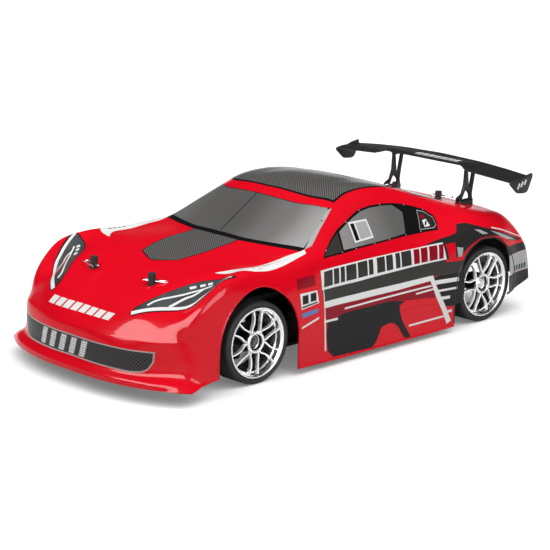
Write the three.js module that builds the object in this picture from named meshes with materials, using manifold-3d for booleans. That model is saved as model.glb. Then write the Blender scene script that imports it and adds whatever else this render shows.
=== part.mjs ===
// Radio controlled drift car in one tenth scale, shaft driven to all four wheels.
// Millimetres. The nose points along -Y, the car's left side is +X, and Z is up from the ground.
// Inside the car group every Y is counted backwards from the front axle.
import * as THREE from "three";
import { mergeVertices } from "three/addons/utils/BufferGeometryUtils.js";
import Module from "manifold-3d";

const wasm = await Module();
wasm.setup();

// Overall layout
const WHEELBASE = 260;
const TRACK = 162;
const FRONT_OVERHANG = 107;
const REAR_OVERHANG = 66;
const BODY_WIDTH = 200;
const BODY_HEIGHT = 128;
const FIT = 0.3;
const PIN_PLAY = 0.3;

// Wheels and tyres
const TYRE_RADIUS = 32;
const TYRE_WIDTH = 26;
const RIM_LIP_RADIUS = 27.2;
const RIM_SEAT_RADIUS = 25.6;
const RIM_WALL = 1.4;
const RIM_LIP_THICKNESS = 1;
const SPOKE_THICKNESS = 2.6;
const SPOKE_PAIRS = 6;
const SPOKE_SPREAD = 36;
const SPOKE_WIDTH = 2.2;
const KNOT_WIDTH = 5;
const FRONT_WHEEL_TURN = 55;
const REAR_WHEEL_TURN = 27;
const SPOKE_FACE = 9.6;
const HUB_RADIUS = 8.5;
const HUB_START = -2;
const NUT_START = 5.3;
const NUT_WIDTH = 3.2;
const NUT_RADIUS = 4.2;
const HEX_RADIUS = 6.9;
const HEX_WIDTH = 4.7;
const ROUND = 24;

// Axles and drive line
const AXLE_RADIUS = 2.5;
const CUP_RADIUS = 5.6;
const CUP_BORE = 4.2;
const CUP_DEPTH = 4;
const DRIVESHAFT_RADIUS = 1.5;
const DRIVESHAFT_BALL = CUP_BORE - 0.4;
const CENTRE_SHAFT_RADIUS = 2.5;
const SPUR_RADIUS = 18;
const PINION_RADIUS = 6;
const GEAR_WIDTH = 6;
const MOTOR_RADIUS = 18;
const MOTOR_LENGTH = 50;

// Suspension
const ARM_INNER_X = 18;
const ARM_LENGTH = 42;
const ARM_PIN_Z = 14;
const HINGE_PIN_RADIUS = 1.5;
const ARM_FRONT = -18.6;
const ARM_REAR = 13.4;
const LINK_Z = 51.5;
const LINK_INSET = 2;
const LINK_RING = 3.2;
const SMALL_PIN_RADIUS = 1.3;
const STEER_ARM = 14;
const TIE_Z = 41.5;
const BALL_RADIUS = 2.1;
const SHOCK_Y = -13;
const SHOCK_TOP_X = 34;
const SHOCK_TOP_Z = 62;
const SHOCK_FOOT_X = 42;
const SHOCK_FOOT_Z = 19.5;
const SHOCK_RADIUS = 5.2;
const SHOCK_BODY_LENGTH = 24;
const SHOCK_FOOT_PLAY = 0.55;

const EAR_HALF = 4.4;
const EAR_RADIUS = 3.6;
const YOKE_HALF = 10.5;
const HOUSING_RADIUS = 8;

// Chassis and electrics
const PLATE_Z = 6;
const PLATE_THICKNESS = 2.5;
const PLATE_HALF_WIDTH = 52;
const PLATE_NECK = 20;
const GEARBOX_HALF = 12.5;
const GEARBOX_TOP = 44;
const TOWER_THICKNESS = 2.5;
const CRANK_X = 27;
const CRANK_Y = 28;
const CRANK_Z = 32.5;
const CRANK_THICKNESS = 2.5;
const BATTERY = [44, 138, 25];
const BATTERY_START = 54;
const BATTERY_X = 6;
const SPUR_Y = 200;
const INLET_LENGTH = 6;
const SERVO = [20, 40, 22];
const SERVO_EAR = 4;
const SERVO_BOSS_RADIUS = 5;
const CRANK_PIVOT_RADIUS = 1.8;
const CRANK_PIN_RADIUS = 1.4;
const BALL_STEM_RADIUS = 1.2;
const MOTOR_SHAFT_RADIUS = 1.6;
const MOTOR_BEARING_RADIUS = 6.5;
const MOTOR_GAP = 3;
const CONTROLLER = [32, 40, 15.5];
const CONTROLLER_X = 12;
const CONTROLLER_START = 76;
const FIN_COUNT = 6;
const FIN_THICKNESS = 2.4;
const FIN_HEIGHT = 5.5;
const STRAP_THICKNESS = 2;
const STRAP_WIDTH = 12;
const BUMPER_HEIGHT = 23;
const BUMPER_SETBACK = 9;
const BRACE_THICKNESS = 4;
const POST_RADIUS = 3;
const FRONT_POST = [34.2, 54 - FRONT_OVERHANG, BODY_HEIGHT - 44];
const REAR_POST = [25, WHEELBASE + 16.4, BODY_HEIGHT - 30];
const REAR_POST_FOOT = 50;

// Shell and wing
const SHELL_WALL = 1.2;
const ARCH_GAP = 9;
const ARCH_SHIFT = 4;
const FRONT_ARCH_TOP = 76.5;
const REAR_ARCH_TOP = 73;
const POST_HOLE_GAP = 0.6;
const WING_SPAN = 203;
const WING_Z = BODY_HEIGHT - 11;
const WING_START = WHEELBASE + 21;
const END_PLATE_THICKNESS = 1.5;
const UPRIGHT_X = 42;
const UPRIGHT_THICKNESS = 2.4;
const UPRIGHT_FOOT_LENGTH = 19;

const PLATE_TOP = PLATE_Z + PLATE_THICKNESS;
const SEAT_Z = PLATE_TOP + FIT;
const KINGPIN_X = ARM_INNER_X + ARM_LENGTH;
const AXLE_Z = TYRE_RADIUS;
const WHEEL_X = TRACK / 2;
const GEARBOX_FRONT = ARM_FRONT - FIT * 2;
const GEARBOX_REAR = ARM_REAR + FIT * 2;
const HANGER = 3.2;
const HANGER_TOP = ARM_PIN_Z + 6;
const HOUSING_STEP = KINGPIN_X + CUP_DEPTH + 1.5;
const HOUSING_END = KINGPIN_X + 12;
const LENGTH = FRONT_OVERHANG + WHEELBASE + REAR_OVERHANG;

const finish = (color, roughness, metalness) => new THREE.MeshStandardMaterial({ color, roughness, metalness });
const redPaint = finish(0xd4121f, 0.18, 0.0);
const chrome = finish(0xd9dadc, 0.12, 1.0);
const rubber = finish(0x1d1d1f, 0.85, 0.0);
const blackPlastic = finish(0x19191b, 0.5, 0.0);
const carbonPlate = finish(0x24262a, 0.35, 0.1);
const steel = finish(0xa9adb3, 0.3, 1.0);
const motorCan = finish(0xb9bcc2, 0.25, 1.0);
const blueCase = finish(0x26406b, 0.45, 0.0);
const foam = finish(0x202022, 0.95, 0.0);
const wingPlastic = finish(0x141416, 0.3, 0.0);
const gearPlastic = finish(0xd8d5cc, 0.55, 0.0);

// Solids
function solid(geometry) {
  const bare = geometry.clone();
  bare.deleteAttribute("normal");
  bare.deleteAttribute("uv");
  const merged = mergeVertices(bare, 1e-4);
  const mesh = new wasm.Mesh({
    numProp: 3,
    vertProperties: new Float32Array(merged.attributes.position.array),
    triVerts: new Uint32Array(merged.index.array),
  });
  mesh.merge();
  return new wasm.Manifold(mesh);
}

function geometryOf(body) {
  const mesh = body.getMesh();
  const geometry = new THREE.BufferGeometry();
  geometry.setAttribute("position", new THREE.BufferAttribute(new Float32Array(mesh.vertProperties), 3));
  geometry.setIndex(new THREE.BufferAttribute(new Uint32Array(mesh.triVerts), 1));
  geometry.computeVertexNormals();
  return geometry;
}

function join(...pieces) {
  return geometryOf(pieces.map(solid).reduce((sum, piece) => sum.add(piece)));
}

function cut(body, ...tools) {
  return geometryOf(tools.map(solid).reduce((rest, tool) => rest.subtract(tool), solid(body)));
}

function box(x0, x1, y0, y1, z0, z1) {
  const block = new THREE.BoxGeometry(x1 - x0, y1 - y0, z1 - z0);
  return block.translate((x0 + x1) / 2, (y0 + y1) / 2, (z0 + z1) / 2);
}

function rodX(radius, x0, x1, y, z, sides = 12) {
  return new THREE.CylinderGeometry(radius, radius, x1 - x0, sides).rotateZ(-Math.PI / 2)
    .translate((x0 + x1) / 2, y, z);
}

function rodY(radius, y0, y1, x, z, sides = 12) {
  return new THREE.CylinderGeometry(radius, radius, y1 - y0, sides).translate(x, (y0 + y1) / 2, z);
}

function rodZ(radius, z0, z1, x, y, sides = 12) {
  return new THREE.CylinderGeometry(radius, radius, z1 - z0, sides).rotateX(Math.PI / 2)
    .translate(x, y, (z0 + z1) / 2);
}

function ball(radius, x, y, z) {
  return new THREE.SphereGeometry(radius, 8, 5).translate(x, y, z);
}

function outline(points) {
  const corners = points.map(([a, b]) => new THREE.Vector2(a, b));
  return new THREE.Shape(THREE.ShapeUtils.isClockWise(corners) ? corners.reverse() : corners);
}

function holed(points, ...holes) {
  const shape = outline(points);
  shape.holes = holes.map((hole) => outline(hole));
  return shape;
}

function slabZ(shape, z0, z1) {
  return new THREE.ExtrudeGeometry(shape, { depth: z1 - z0, bevelEnabled: false, curveSegments: 8 })
    .translate(0, 0, z0);
}

// The outline's first number runs along X, its second along Z.
function slabY(shape, y0, y1) {
  return new THREE.ExtrudeGeometry(shape, { depth: y1 - y0, bevelEnabled: false, curveSegments: 8 })
    .rotateX(Math.PI / 2).translate(0, y1, 0);
}

// The outline's first number runs along Y, its second along Z.
function slabX(shape, x0, x1) {
  return new THREE.ExtrudeGeometry(shape, { depth: x1 - x0, bevelEnabled: false, curveSegments: 8 })
    .rotateX(Math.PI / 2).rotateZ(Math.PI / 2).translate(x0, 0, 0);
}

function turned(points, sides = ROUND) {
  const profile = points.map(([along, radius]) => new THREE.Vector2(radius, along));
  return new THREE.LatheGeometry(profile, sides).rotateZ(-Math.PI / 2);
}

function add(group, name, geometry, material) {
  const mesh = new THREE.Mesh(geometry, material);
  mesh.name = name;
  group.add(mesh);
  return mesh;
}

const mirrorX = (points) => [...points, ...points.slice().reverse().map(([x, y]) => [-x, y])];

// Shell surface: cross lines from the nose to the tail. Each runs from the middle of the car over the
// fender or roof rail and the side down to the bottom edge: middle, inner, rail, belt, shoulder, side, sill.
const CROSS_LINES = [
  [[0, -107, 12], [30, -106, 12], [58, -101.5, 12], [78, -95, 12], [91, -88, 12], [100, -82, 12], [105, -76, 12]],
  [[0, -107, 16], [30, -106, 16], [58, -101, 16], [78, -94, 16], [91, -86, 16], [99.5, -78, 15], [104.5, -71, 12.5]],
  [[0, -103, 21], [30, -102, 21], [58, -96, 21], [75, -88.5, 21], [88, -80, 21], [97, -72, 18], [102, -64, 13]],
  [[0, -102, 37], [30, -101, 37], [58, -95, 37], [77, -86, 37], [89, -76.5, 35], [97.5, -66, 27], [101, -56, 13.5]],
  [[0, -99, 43], [30, -97, 44], [56, -91, 46], [77, -84, 47], [89, -73, 46], [97.5, -60, 36], [100.5, -50, 14]],
  [[0, -93, 53], [30, -91, 55], [55, -84, 58.5], [76, -72, 60], [90.5, -69, 57.5], [99, -54, 43], [100.5, -45, 14]],
  [[0, -79.5, 64], [30, -79.5, 64.5], [56, -75.5, 64.5], [79, -56.5, 66.8], [93.5, -58.5, 70], [100, -46, 54], [100.5, -38, 12]],
  [[0, -51, 75.5], [30, -51, 76], [56, -49, 77.5], [83, -42, 76.5], [94.5, -40, 83.5], [101, -30, 60], [100.5, -28, 10]],
  [[0, -18, 84.3], [30, -18, 84.6], [56, -16, 85.3], [78, -14, 86.5], [92.5, -14, 87.8], [101, -10, 66], [100.5, -10, 8]],
  [[0, 14, 89.8], [32, 14, 89.2], [62, 16, 87.3], [78, 17, 86.2], [88, 17, 86.9], [99.5, 16, 66], [100, 16, 6]],
  [[0, 44, 94], [37, 49, 93.3], [76, 61, 91], [84, 62, 89], [91, 60, 85], [98.5, 55, 58], [99.5, 52, 5]],
  [[0, 68, 108], [34, 73, 106.5], [70, 84, 102.5], [86.5, 84, 85.5], [92.5, 82, 75], [98, 80, 44], [99.5, 80, 4.5]],
  [[0, 91, 121.5], [32, 94, 120], [61.5, 106, 114.5], [86.5, 106, 84], [92, 106, 73], [98, 106, 42], [99.5, 106, 4.5]],
  [[0, 106, 126], [31, 108, 125], [59, 119, 119.5], [86.5, 120, 83], [91.5, 120, 72], [98, 120, 40], [99.5, 120, 4.5]],
  [[0, 138, 128], [30, 139, 126.8], [58, 143, 121.5], [86.5, 143, 82], [91.5, 143, 72], [98, 143, 40], [99.5, 143, 4.5]],
  [[0, 165, 125], [29, 165, 124], [57, 167, 119], [86, 167, 82], [91.5, 167, 72], [98, 167, 42], [99.5, 167, 4.5]],
  [[0, 195, 117.5], [28, 195, 116.5], [56, 196, 112.5], [86, 196, 83], [92, 196, 75], [98.5, 196, 45], [99.5, 196, 4.5]],
  [[0, 226, 107.5], [28, 226, 107], [55, 226, 104], [85.5, 225, 86], [94, 225, 79], [100, 222, 52], [99.5, 220, 5]],
  [[0, 256, 97.5], [28, 256, 97.3], [56, 255, 95.5], [84, 254, 88], [94.5, 254, 80], [100.5, 252, 56], [99, 250, 8]],
  [[0, 285, 89], [30, 285, 89], [58, 283, 88.5], [80, 281, 86], [91, 281, 78], [97.5, 284, 52], [96, 288, 16]],
  [[0, 308, 84], [30, 308, 84], [58, 306, 83], [76, 303, 81], [87, 301, 72], [93.5, 302, 48], [93, 300, 21]],
  [[0, 321, 72], [30, 321, 72], [58, 319.5, 71], [77, 316, 69], [88, 313, 62], [92.5, 312, 45], [92.2, 309, 23.5]],
  [[0, 325.5, 60], [30, 325.5, 60], [60, 324, 59], [79, 321, 58], [89, 318, 53], [92, 317, 42], [92, 316, 25.5]],
  [[0, 326, 27], [30, 326, 27], [60, 325, 27], [79, 323.5, 27], [88, 322, 27], [91, 321, 27], [92, 320, 27]],
];
const DRAWN_WHEELBASE = 260;
const DRAWN_WIDTH = 200;
const DRAWN_HEIGHT = 128;
const ROW_STEPS = 1.3;
const COLUMN_STEPS = 2;

// The cross lines are drawn for one size of car and stretched to the sizes above.
function stretched([x, y, z]) {
  const middle = (y * WHEELBASE) / DRAWN_WHEELBASE;
  const front = (y * FRONT_OVERHANG) / -CROSS_LINES[0][0][1];
  const drawnTail = CROSS_LINES.at(-1)[0][1] - DRAWN_WHEELBASE;
  const tail = WHEELBASE + ((y - DRAWN_WHEELBASE) * REAR_OVERHANG) / drawnTail;
  const along = y < 0 ? front : y > DRAWN_WHEELBASE ? tail : middle;
  return new THREE.Vector3((x * BODY_WIDTH) / DRAWN_WIDTH, along, (z * BODY_HEIGHT) / DRAWN_HEIGHT);
}

function throughPoints(points, steps) {
  const curve = new THREE.CatmullRomCurve3(points, false, "centripetal");
  const count = Math.round((points.length - 1) * steps);
  return Array.from({ length: count + 1 }, (_, i) => curve.getPoint(i / count));
}

// A grid of surface points, rows from nose to tail and columns from the right sill to the left sill.
function shellGrid() {
  const column = (c) => CROSS_LINES.map((row) => stretched(row[c]));
  const columns = CROSS_LINES[0].map((_, c) => throughPoints(column(c), ROW_STEPS));
  return columns[0].map((_, r) => {
    const half = throughPoints(columns.map((points) => points[r]), COLUMN_STEPS);
    half[0].x = 0;
    const right = half.slice(1).reverse().map((p) => new THREE.Vector3(-p.x, p.y, p.z));
    return [...right, ...half];
  });
}

function gridNormal(grid, r, c) {
  const row = (i) => grid[Math.min(Math.max(i, 0), grid.length - 1)];
  const at = (i, j) => row(i)[Math.min(Math.max(j, 0), grid[0].length - 1)];
  const along = at(r + 1, c).clone().sub(at(r - 1, c));
  const across = at(r, c + 1).clone().sub(at(r, c - 1));
  return across.cross(along).normalize();
}

// The same grid twice, the second one wall deeper, with the rims joined.
function shellSkin(grid) {
  const rows = grid.length;
  const columns = grid[0].length;
  const vertices = [];
  grid.forEach((row) => row.forEach((p) => vertices.push(p.x, p.y, p.z)));
  grid.forEach((row, r) => row.forEach((p, c) => {
    const q = p.clone().addScaledVector(gridNormal(grid, r, c), -SHELL_WALL);
    vertices.push(q.x, q.y, q.z);
  }));
  const outer = (r, c) => r * columns + c;
  const inner = (r, c) => rows * columns + outer(r, c);
  const faces = [];
  const quad = (a, b, c, d) => faces.push(a, b, c, a, c, d);
  for (let r = 0; r < rows - 1; r++) {
    for (let c = 0; c < columns - 1; c++) {
      quad(outer(r, c), outer(r, c + 1), outer(r + 1, c + 1), outer(r + 1, c));
      quad(inner(r, c), inner(r + 1, c), inner(r + 1, c + 1), inner(r, c + 1));
    }
    quad(outer(r, 0), outer(r + 1, 0), inner(r + 1, 0), inner(r, 0));
    quad(outer(r + 1, columns - 1), outer(r, columns - 1), inner(r, columns - 1), inner(r + 1, columns - 1));
  }
  for (let c = 0; c < columns - 1; c++) {
    quad(outer(0, c + 1), outer(0, c), inner(0, c), inner(0, c + 1));
    quad(outer(rows - 1, c), outer(rows - 1, c + 1), inner(rows - 1, c + 1), inner(rows - 1, c));
  }
  const geometry = new THREE.BufferGeometry();
  geometry.setAttribute("position", new THREE.Float32BufferAttribute(vertices, 3));
  geometry.setIndex(faces);
  return geometry;
}

// Height of the shell's outside above a place in plan, read off the grid's triangles.
function deckHeight(grid, x, y) {
  let height = 0;
  const read = (a, b, c) => {
    const area = (b.x - a.x) * (c.y - a.y) - (c.x - a.x) * (b.y - a.y);
    const u = ((b.x - x) * (c.y - y) - (c.x - x) * (b.y - y)) / area;
    const v = ((c.x - x) * (a.y - y) - (a.x - x) * (c.y - y)) / area;
    const inside = u >= 0 && v >= 0 && u + v <= 1;
    if (inside) height = Math.max(height, u * a.z + v * b.z + (1 - u - v) * c.z);
  };
  for (let r = 0; r < grid.length - 1; r++) {
    for (let c = 0; c < grid[0].length - 1; c++) {
      read(grid[r][c], grid[r][c + 1], grid[r + 1][c + 1]);
      read(grid[r][c], grid[r + 1][c + 1], grid[r + 1][c]);
    }
  }
  return height;
}

// A wheel arch outline, straight below the axle and rounded over the tyre, as a prism on one side.
function archPrism(middle, halfLength, height, x0, x1) {
  const shape = new THREE.Shape();
  shape.moveTo(middle - halfLength, -ARCH_GAP);
  shape.lineTo(middle - halfLength, AXLE_Z);
  shape.absellipse(middle, AXLE_Z, halfLength, height, Math.PI, 0, true);
  shape.lineTo(middle + halfLength, -ARCH_GAP);
  return slabX(shape, x0, x1);
}

function bodyShell(grid) {
  const inside = WHEEL_X - TYRE_WIDTH / 2 - ARCH_GAP;
  const tools = [];
  for (const [x0, x1] of [[inside, BODY_WIDTH], [-BODY_WIDTH, -inside]]) {
    tools.push(archPrism(-ARCH_SHIFT, TYRE_RADIUS + ARCH_GAP, FRONT_ARCH_TOP - AXLE_Z, x0, x1));
    tools.push(archPrism(WHEELBASE - ARCH_SHIFT, TYRE_RADIUS + ARCH_GAP - 1, REAR_ARCH_TOP - AXLE_Z, x0, x1));
  }
  for (const [x, y, z] of [FRONT_POST, REAR_POST]) {
    for (const side of [x, -x]) tools.push(rodZ(POST_RADIUS + POST_HOLE_GAP, z - 30, z + 10, side, y, 8));
  }
  return cut(shellSkin(grid), ...tools);
}

// Rear wing: a cambered blade between two end plates, one moulding
function rearWing() {
  const half = WING_SPAN / 2;
  const blade = [[0, 2.2], [4, 3.6], [12, 4.6], [20, 5.2], [26.5, 6.2], [26.5, 5.2], [19, 3.6], [11, 2.4], [4, 1.4]];
  const section = outline(blade.map(([y, z]) => [WING_START + y, WING_Z - 3 + z]));
  const plate = outline([[-1.5, 0.5], [6.5, -10], [20.5, -11.5], [26.2, 3], [19, 4.5], [7, 3]]
    .map(([y, z]) => [WING_START + y, WING_Z + z]));
  const inner = half - END_PLATE_THICKNESS;
  const wing = slabX(section, -inner - 0.5, inner + 0.5);
  return join(wing, slabX(plate, inner, half), slabX(plate, -half, -inner));
}

// One upright: an open truss in the Y-Z plane that stands on the boot lid on a small foot
function wingUpright(grid, side) {
  const start = WING_START;
  const end = start + UPRIGHT_FOOT_LENGTH;
  const foot = (y) => Math.max(...[-1, 0, 1].map((k) => deckHeight(grid, side * (UPRIGHT_X + k), y))) + FIT;
  const middle = (start + end) / 2;
  const top = WING_Z - 0.9 - FIT;
  const frame = holed(
    [[start, foot(start)], [middle, foot(middle)], [end, foot(end)], [end + 1.5, foot(end) + 5], [end + 6, top],
      [end - 10, top], [start - 1, foot(start) + 6]],
    [[start + 3, foot(start) + 4], [start + 7.5, foot(start) + 10.5], [end - 2.5, foot(end) + 4]],
    [[start + 10.5, foot(start) + 12], [end - 7, top - 3], [end + 2, top - 3], [end - 0.5, foot(end) + 7.5]],
  );
  const x = side * UPRIGHT_X;
  return slabX(frame, x - UPRIGHT_THICKNESS / 2, x + UPRIGHT_THICKNESS / 2);
}

// Wheels: a barrel, a face of slim spokes and a hub with a recess for the nut. The spokes leave the hub
// in pairs and spread towards the rim, so each neighbour of the next pair runs almost beside it.
function polar(radius, degrees) {
  const angle = THREE.MathUtils.degToRad(degrees);
  return [radius * Math.cos(angle), radius * Math.sin(angle)];
}

function spokeWindows(turn) {
  const rim = RIM_SEAT_RADIUS - RIM_WALL * 0.5;
  const foot = HUB_RADIUS + 1.2;
  const crotch = HUB_RADIUS + 4;
  const step = 360 / SPOKE_PAIRS;
  const halfSpoke = THREE.MathUtils.radToDeg(SPOKE_WIDTH / 2 / rim);
  const halfKnot = THREE.MathUtils.radToDeg(KNOT_WIDTH / 2 / foot);
  const inner = SPOKE_SPREAD / 2 - halfSpoke;
  const outer = SPOKE_SPREAD / 2 + halfSpoke;
  return Array.from({ length: SPOKE_PAIRS }, (_, pair) => turn + pair * step).flatMap((middle) => [
    [polar(crotch, middle), polar(rim, middle - inner), polar(rim, middle), polar(rim, middle + inner)],
    [polar(foot, middle + halfKnot), polar(rim, middle + outer), polar(rim, middle + step / 2),
      polar(rim, middle + step - outer), polar(foot, middle + step - halfKnot)],
  ]);
}

function wheel(turn) {
  const half = TYRE_WIDTH / 2 - 0.2;
  const seat = half - RIM_LIP_THICKNESS;
  const inside = RIM_SEAT_RADIUS - RIM_WALL;
  const barrel = turned([
    [-half, inside], [-half, RIM_LIP_RADIUS], [-seat, RIM_LIP_RADIUS], [-seat, RIM_SEAT_RADIUS],
    [seat, RIM_SEAT_RADIUS], [seat, RIM_LIP_RADIUS], [half, RIM_LIP_RADIUS], [half, inside], [-half, inside],
  ]);
  const rimEdge = RIM_SEAT_RADIUS - RIM_WALL * 0.25;
  const circle = Array.from({ length: ROUND }, (_, i) => {
    const angle = ((i + 0.5) * 2 * Math.PI) / ROUND;
    return [rimEdge * Math.cos(angle), rimEdge * Math.sin(angle)];
  });
  const face = slabX(holed(circle, ...spokeWindows(turn)), SPOKE_FACE - SPOKE_THICKNESS, SPOKE_FACE);
  const hub = rodX(HUB_RADIUS, HUB_START, SPOKE_FACE + 0.6, 0, 0, ROUND);
  const recess = rodX(NUT_RADIUS + 1.2, NUT_START - FIT, SPOKE_FACE + 4, 0, 0);
  const bore = rodX(AXLE_RADIUS + FIT, HUB_START - 1, SPOKE_FACE + 4, 0, 0);
  return cut(join(barrel, face, hub), recess, bore);
}

function tyre() {
  const half = TYRE_WIDTH / 2;
  const bead = half - 0.2 - RIM_LIP_THICKNESS - FIT;
  const bore = RIM_SEAT_RADIUS + FIT;
  const side = [[bead, bore], [bead, RIM_LIP_RADIUS + FIT], [half, RIM_LIP_RADIUS + 1.6],
    [half - 0.3, TYRE_RADIUS - 1], [half - 1.8, TYRE_RADIUS]];
  const other = side.slice().reverse().map(([x, radius]) => [-x, radius]);
  return turned([...side, ...other, side[0]].reverse());
}

// Axle with its drive cup, the hex that drives the wheel, and the wheel nut
function axle() {
  const cup = rodX(CUP_RADIUS, KINGPIN_X - CUP_DEPTH, HOUSING_STEP - FIT, 0, AXLE_Z, 14);
  const bore = rodX(CUP_BORE, KINGPIN_X - CUP_DEPTH - 1, KINGPIN_X + CUP_DEPTH, 0, AXLE_Z, 14);
  const spindle = rodX(AXLE_RADIUS, HOUSING_STEP - 1, WHEEL_X + NUT_START + NUT_WIDTH + 1, 0, AXLE_Z, 8);
  const hex = rodX(HEX_RADIUS, WHEEL_X + HUB_START - FIT - HEX_WIDTH, WHEEL_X + HUB_START - FIT, 0, AXLE_Z, 6);
  const nut = rodX(NUT_RADIUS, WHEEL_X + NUT_START, WHEEL_X + NUT_START + NUT_WIDTH, 0, AXLE_Z, 6);
  return cut(join(cup, spindle, hex, nut), bore);
}

function driveshaft() {
  return join(
    rodX(DRIVESHAFT_RADIUS, ARM_INNER_X, KINGPIN_X, 0, AXLE_Z, 8),
    ball(DRIVESHAFT_BALL, ARM_INNER_X, 0, AXLE_Z),
    ball(DRIVESHAFT_BALL, KINGPIN_X, 0, AXLE_Z),
  );
}

// Lower arm with its outer pin and the lower shock pin
function lowerArm() {
  const tip = EAR_HALF + FIT + 5;
  const plate = holed(
    [[ARM_INNER_X, ARM_FRONT], [SHOCK_FOOT_X + 5, SHOCK_Y - 4], [KINGPIN_X - 1, -tip],
      [KINGPIN_X - 1, -EAR_HALF - 0.8], [KINGPIN_X - 5.5, -EAR_HALF - 0.8], [KINGPIN_X - 5.5, EAR_HALF + 0.8],
      [KINGPIN_X - 1, EAR_HALF + 0.8], [KINGPIN_X - 1, tip], [SHOCK_FOOT_X, ARM_REAR - 1], [ARM_INNER_X, ARM_REAR]],
    [[ARM_INNER_X + 8, ARM_REAR - 5], [SHOCK_FOOT_X, 6], [SHOCK_FOOT_X + 4, 0], [SHOCK_FOOT_X - 6, -8],
      [ARM_INNER_X + 8, -11]],
  );
  const barrel = rodY(4, ARM_FRONT, ARM_REAR, ARM_INNER_X, ARM_PIN_Z);
  const prongs = [-1, 1].map((side) => {
    const ends = [side * (EAR_HALF + 0.8), side * tip].sort((a, b) => a - b);
    return rodY(EAR_RADIUS, ...ends, KINGPIN_X, ARM_PIN_Z);
  });
  const pin = rodY(HINGE_PIN_RADIUS, -tip, tip, KINGPIN_X, ARM_PIN_Z, 8);
  const earBack = SHOCK_Y + 2.2;
  const ear = box(SHOCK_FOOT_X - 3, SHOCK_FOOT_X + 3, earBack, earBack + 2, ARM_PIN_Z - 1, SHOCK_FOOT_Z + 2.5);
  const shockPin = rodY(SMALL_PIN_RADIUS, SHOCK_Y - 2.2, earBack + 1, SHOCK_FOOT_X, SHOCK_FOOT_Z, 8);
  const body = join(slabZ(plate, ARM_PIN_Z - 2.2, ARM_PIN_Z + 1.5), barrel, ...prongs, pin, ear, shockPin);
  return cut(body, rodY(HINGE_PIN_RADIUS + PIN_PLAY, ARM_FRONT - 1, ARM_REAR + 1, ARM_INNER_X, ARM_PIN_Z));
}

// The eye on the lower outer pin and the web above it, shared by the caster block and the rear hub
function pinEye(topZ) {
  return [
    rodY(EAR_RADIUS, -EAR_HALF, EAR_HALF, KINGPIN_X, ARM_PIN_Z),
    box(KINGPIN_X - 3, KINGPIN_X + 3, -EAR_HALF, EAR_HALF, ARM_PIN_Z + 2, topZ),
  ];
}

const pinEyeBore = () => rodY(HINGE_PIN_RADIUS + PIN_PLAY, -EAR_HALF - 1, EAR_HALF + 1, KINGPIN_X, ARM_PIN_Z);

// A lug beside the upper link with the pin through the link's eye
function linkLug(x, baseZ) {
  const lug = box(x - 3, x + 3, 2.8, 5.8, baseZ, LINK_Z + 2.6);
  return [lug, rodY(SMALL_PIN_RADIUS, -2.6, 4, x, LINK_Z, 8)];
}

function casterBlock() {
  const low = AXLE_Z - YOKE_HALF;
  const high = AXLE_Z + YOKE_HALF;
  const inner = KINGPIN_X - 14.5;
  const outer = KINGPIN_X + 5;
  const body = join(
    ...pinEye(low),
    box(inner, outer, -7, 7, low - 3, low),
    box(inner, outer, -7, 7, high, high + 3),
    box(inner, inner + 4.5, -7, 7, low - 3, high + 3),
    rodZ(HINGE_PIN_RADIUS, low - 1, low + 3, KINGPIN_X, 0, 8),
    rodZ(HINGE_PIN_RADIUS, high - 3, high + 1, KINGPIN_X, 0, 8),
    ...linkLug(KINGPIN_X - LINK_INSET, high + 1),
  );
  return cut(body, pinEyeBore(), rodX(5.8, inner - 1, inner + 6, 0, AXLE_Z));
}

// Bearing housing shared by the steering knuckle and the rear hub
const housing = () => rodX(HOUSING_RADIUS, KINGPIN_X - CUP_DEPTH, HOUSING_END, 0, AXLE_Z, 14);
const housingBores = () => [
  rodX(CUP_RADIUS + FIT + 0.1, KINGPIN_X - CUP_DEPTH - 1, HOUSING_STEP, 0, AXLE_Z, 14),
  rodX(AXLE_RADIUS + FIT, HOUSING_STEP - 1, HOUSING_END + 1, 0, AXLE_Z, 12),
];

function steeringKnuckle() {
  const boss = YOKE_HALF - FIT;
  const armTop = TIE_Z - 2.9;
  const body = join(
    housing(),
    rodZ(4, AXLE_Z - boss, AXLE_Z + boss, KINGPIN_X, 0),
    box(KINGPIN_X - 3, KINGPIN_X + 3, 4, STEER_ARM + 2.6, armTop - 2.6, armTop),
    rodZ(BALL_STEM_RADIUS, armTop - 1, TIE_Z, KINGPIN_X, STEER_ARM, 8),
    ball(BALL_RADIUS, KINGPIN_X, STEER_ARM, TIE_Z),
  );
  const holes = [-1, 1].map((side) => {
    const ends = [AXLE_Z + side * (boss + 1), AXLE_Z + side * (boss - 3.4)].sort((a, b) => a - b);
    return rodZ(HINGE_PIN_RADIUS + PIN_PLAY, ...ends, KINGPIN_X, 0, 8);
  });
  return cut(body, ...housingBores(), ...holes);
}

function rearHub() {
  const top = AXLE_Z + HOUSING_RADIUS;
  const body = join(
    housing(), ...pinEye(AXLE_Z - 4),
    box(KINGPIN_X - 4, KINGPIN_X + 4, -6, 6, top - 3, top + 4),
    box(KINGPIN_X - 5, KINGPIN_X + 1, -6, 6, top + 1, LINK_Z - 4),
    ...linkLug(KINGPIN_X - LINK_INSET, top + 2),
  );
  return cut(body, pinEyeBore(), ...housingBores());
}

// Upper link: a rod with an eye at each end
function camberLink() {
  const inner = ARM_INNER_X - LINK_INSET;
  const outer = inner + ARM_LENGTH;
  const body = join(
    rodY(LINK_RING, -2.2, 2.2, inner, LINK_Z), rodY(LINK_RING, -2.2, 2.2, outer, LINK_Z),
    rodX(1.5, inner + 2, outer - 2, 0, LINK_Z, 8), rodX(2.4, inner + 17, outer - 17, 0, LINK_Z, 6),
  );
  return cut(body, ...[inner, outer].map((x) => rodY(SMALL_PIN_RADIUS + PIN_PLAY, -3, 3, x, LINK_Z, 8)));
}

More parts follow.
